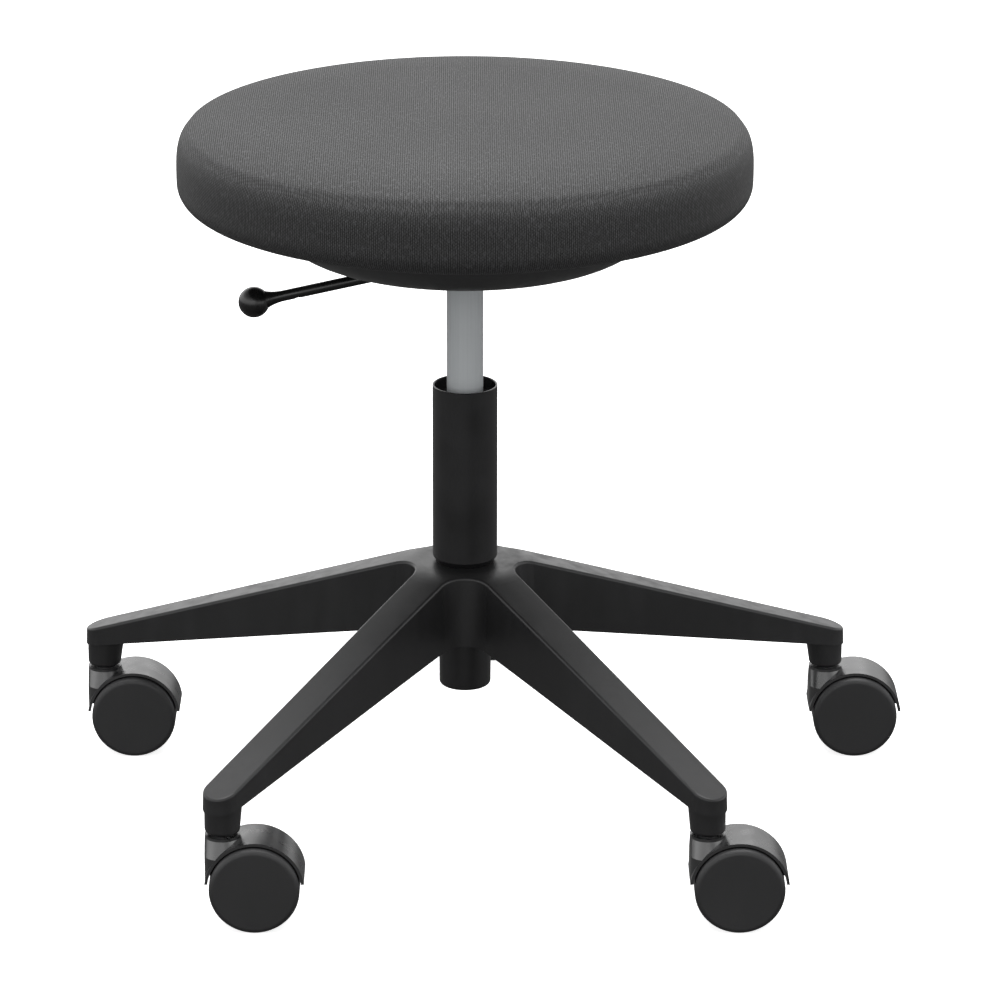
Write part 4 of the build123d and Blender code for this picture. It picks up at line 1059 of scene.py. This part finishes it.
# ---- camera and studio ----------------------------------------------------------------------
@dataclass
class Studio:
    """Pale floor, soft lights and the camera.

    Attributes:
        distance: How far the camera stands from the column's axis.
        height: Height of the camera.
        pitch_deg: How far the camera looks down.
        lens: Focal length in millimetres, on a 36 mm sensor.
        shift: Sideways shift of the lens.
        softbox_height: Height of the softbox over the floor.
        softbox_side: Side of the square softbox.
        softbox_watts: Power of the softbox.
        floor_size: Side of the floor.
        floor_glow: Light that the floor gives off by itself, which keeps its shadows faint.
    """

    distance: float = 3.5
    height: float = 1.484
    pitch_deg: float = 19.46
    lens: float = 174.36
    shift: float = 0.03125
    softbox_height: float = 3.0
    softbox_side: float = 3.0
    softbox_watts: float = 118.0
    floor_size: float = 14.0
    floor_glow: float = 0.8

    def add_camera(self) -> None:
        """Sets up the camera and makes it the scene's."""
        data = bpy.data.cameras.new("camera")
        data.lens = self.lens
        data.sensor_width = 36.0
        data.shift_x = self.shift
        data.clip_end = 60.0
        camera = bpy.data.objects.new("camera", data)
        camera.location = (0.0, -self.distance, self.height)
        camera.rotation_euler = (math.radians(90.0 - self.pitch_deg), 0.0, 0.0)
        bpy.context.scene.collection.objects.link(camera)
        bpy.context.scene.camera = camera

    def add_softbox(self, name: str, place: Point, target: Point, size: tuple[float, float],
                    power: float) -> None:
        """Adds one soft rectangular light.

        Args:
            name: The light's name.
            place: Where it hangs.
            target: The point that it faces.
            size: Its two sides.
            power: Its power in watts.
        """
        data = bpy.data.lights.new(name, "AREA")
        data.shape = "RECTANGLE"
        data.size, data.size_y = size
        data.energy = power
        light = bpy.data.objects.new(name, data)
        light.location = place
        aim = Vector(target) - Vector(place)
        light.rotation_euler = aim.to_track_quat("-Z", "Y").to_euler()
        bpy.context.scene.collection.objects.link(light)

    def add_sky(self) -> None:
        """Surrounds the stool with a soft pale cove: bright at the horizon, dim below it."""
        world = bpy.data.worlds.new("cove")
        world.use_nodes = True
        tree = world.node_tree
        tree.nodes.clear()
        output = tree.nodes.new("ShaderNodeOutputWorld")
        seen = tree.nodes.new("ShaderNodeBackground")
        seen.inputs["Color"].default_value = (1.0, 1.0, 1.0, 1.0)
        seen.inputs["Strength"].default_value = 1.0
        where = tree.nodes.new("ShaderNodeTexCoord")
        split = tree.nodes.new("ShaderNodeSeparateXYZ")
        tree.links.new(where.outputs["Generated"], split.inputs["Vector"])
        wash = self.cove(tree, split, HEIGHT_WASH, SIDE_WASH)
        glow = self.cove(tree, split, HEIGHT_GLOW, SIDE_GLOW)
        ray = tree.nodes.new("ShaderNodeLightPath")
        lit = self.choose(tree, ray.outputs["Is Glossy Ray"], wash, glow)
        shown = self.choose(tree, ray.outputs["Is Camera Ray"], lit, seen.outputs["Background"])
        tree.links.new(shown, output.inputs["Surface"])
        bpy.context.scene.world = world

    def cove(self, tree: bpy.types.NodeTree, split: bpy.types.Node, height: Stops,
             side: Stops) -> bpy.types.NodeSocket:
        """Makes a background whose brightness turns with the height and the side.

        Args:
            tree: The world's node tree.
            split: The node that gives the direction's parts.
            height: Brightness by height.
            side: Brightness by side.

        Returns:
            The background's socket.
        """
        both = tree.nodes.new("ShaderNodeVectorMath")
        both.operation = "MULTIPLY"
        tree.links.new(self.ramp(tree, split.outputs["Z"], height), both.inputs[0])
        tree.links.new(self.ramp(tree, split.outputs["X"], side), both.inputs[1])
        background = tree.nodes.new("ShaderNodeBackground")
        tree.links.new(both.outputs["Vector"], background.inputs["Color"])
        return background.outputs["Background"]

    @staticmethod
    def choose(tree: bpy.types.NodeTree, switch: bpy.types.NodeSocket, first: bpy.types.NodeSocket,
               second: bpy.types.NodeSocket) -> bpy.types.NodeSocket:
        """Gives the second background where the switch is 1, and the first elsewhere."""
        mix = tree.nodes.new("ShaderNodeMixShader")
        for source, target in zip((switch, first, second), mix.inputs):
            tree.links.new(source, target)
        return mix.outputs["Shader"]

    @staticmethod
    def ramp(tree: bpy.types.NodeTree, part: bpy.types.NodeSocket, stops: Stops) -> bpy.types.NodeSocket:
        """Turns one part of a direction, from -1 to 1, into brightness.

        Args:
            tree: The world's node tree.
            part: The direction's part.
            stops: Places from -1 to 1, each with its brightness.

        Returns:
            The brightness socket.
        """
        raised = tree.nodes.new("ShaderNodeMath")
        raised.operation = "MULTIPLY_ADD"
        raised.inputs[1].default_value = 0.5
        raised.inputs[2].default_value = 0.5
        tree.links.new(part, raised.inputs[0])
        node = tree.nodes.new("ShaderNodeValToRGB")
        tree.links.new(raised.outputs["Value"], node.inputs["Fac"])
        node.color_ramp.interpolation = "EASE"
        while len(node.color_ramp.elements) < len(stops):
            node.color_ramp.elements.new(0.5)
        for element, (place, glow) in zip(node.color_ramp.elements, stops):
            element.position = 0.5 + 0.5 * place
            element.color = (glow, glow, glow, 1.0)
        return node.outputs["Color"]

    def add_floor(self) -> None:
        """Lays a pale matte floor that the stool's undersides don't take light from."""
        bpy.ops.object.select_all(action="DESELECT")
        bpy.ops.mesh.primitive_plane_add(size=self.floor_size, location=(0.0, 0.0, 0.0))
        floor = bpy.context.object
        floor.name = "floor"
        sheet = NodeSheet("floor_look")
        cloud = sheet.noise(sheet.place(), 3.0, 2.0)
        colour = sheet.blend(sheet.spread(cloud, 0.0, 1.0), (0.9, 0.9, 0.9), (0.93, 0.93, 0.93))
        sheet.set({"Emission Color": (1.0, 1.0, 1.0, 1.0), "Emission Strength": self.floor_glow})
        floor.data.materials.append(sheet.finish(colour, 0.9, sheet.bump(cloud, 0.0001)))
        floor.visible_glossy = False
        floor.visible_diffuse = False

    def build(self) -> None:
        """Makes the camera, the lights and the floor."""
        self.add_camera()
        self.add_sky()
        place = (0.0, 0.2, self.softbox_height)
        size = (self.softbox_side, self.softbox_side)
        self.add_softbox("top_softbox", place, (0.0, 0.0, 0.4), size, self.softbox_watts)
        self.add_floor()
        bpy.context.scene.view_settings.view_transform = "Standard"
        log.info("studio ready")


def main() -> None:
    """Builds the stool's looks in order."""
    logging.basicConfig(level=logging.INFO, format="%(message)s")
    finishes = Finishes()
    finishes.dress_nodes()
    SeatCushion().build(finishes)
    HemStaples().build(finishes)
    Studio().build()


if __name__ == "__main__":
    main()
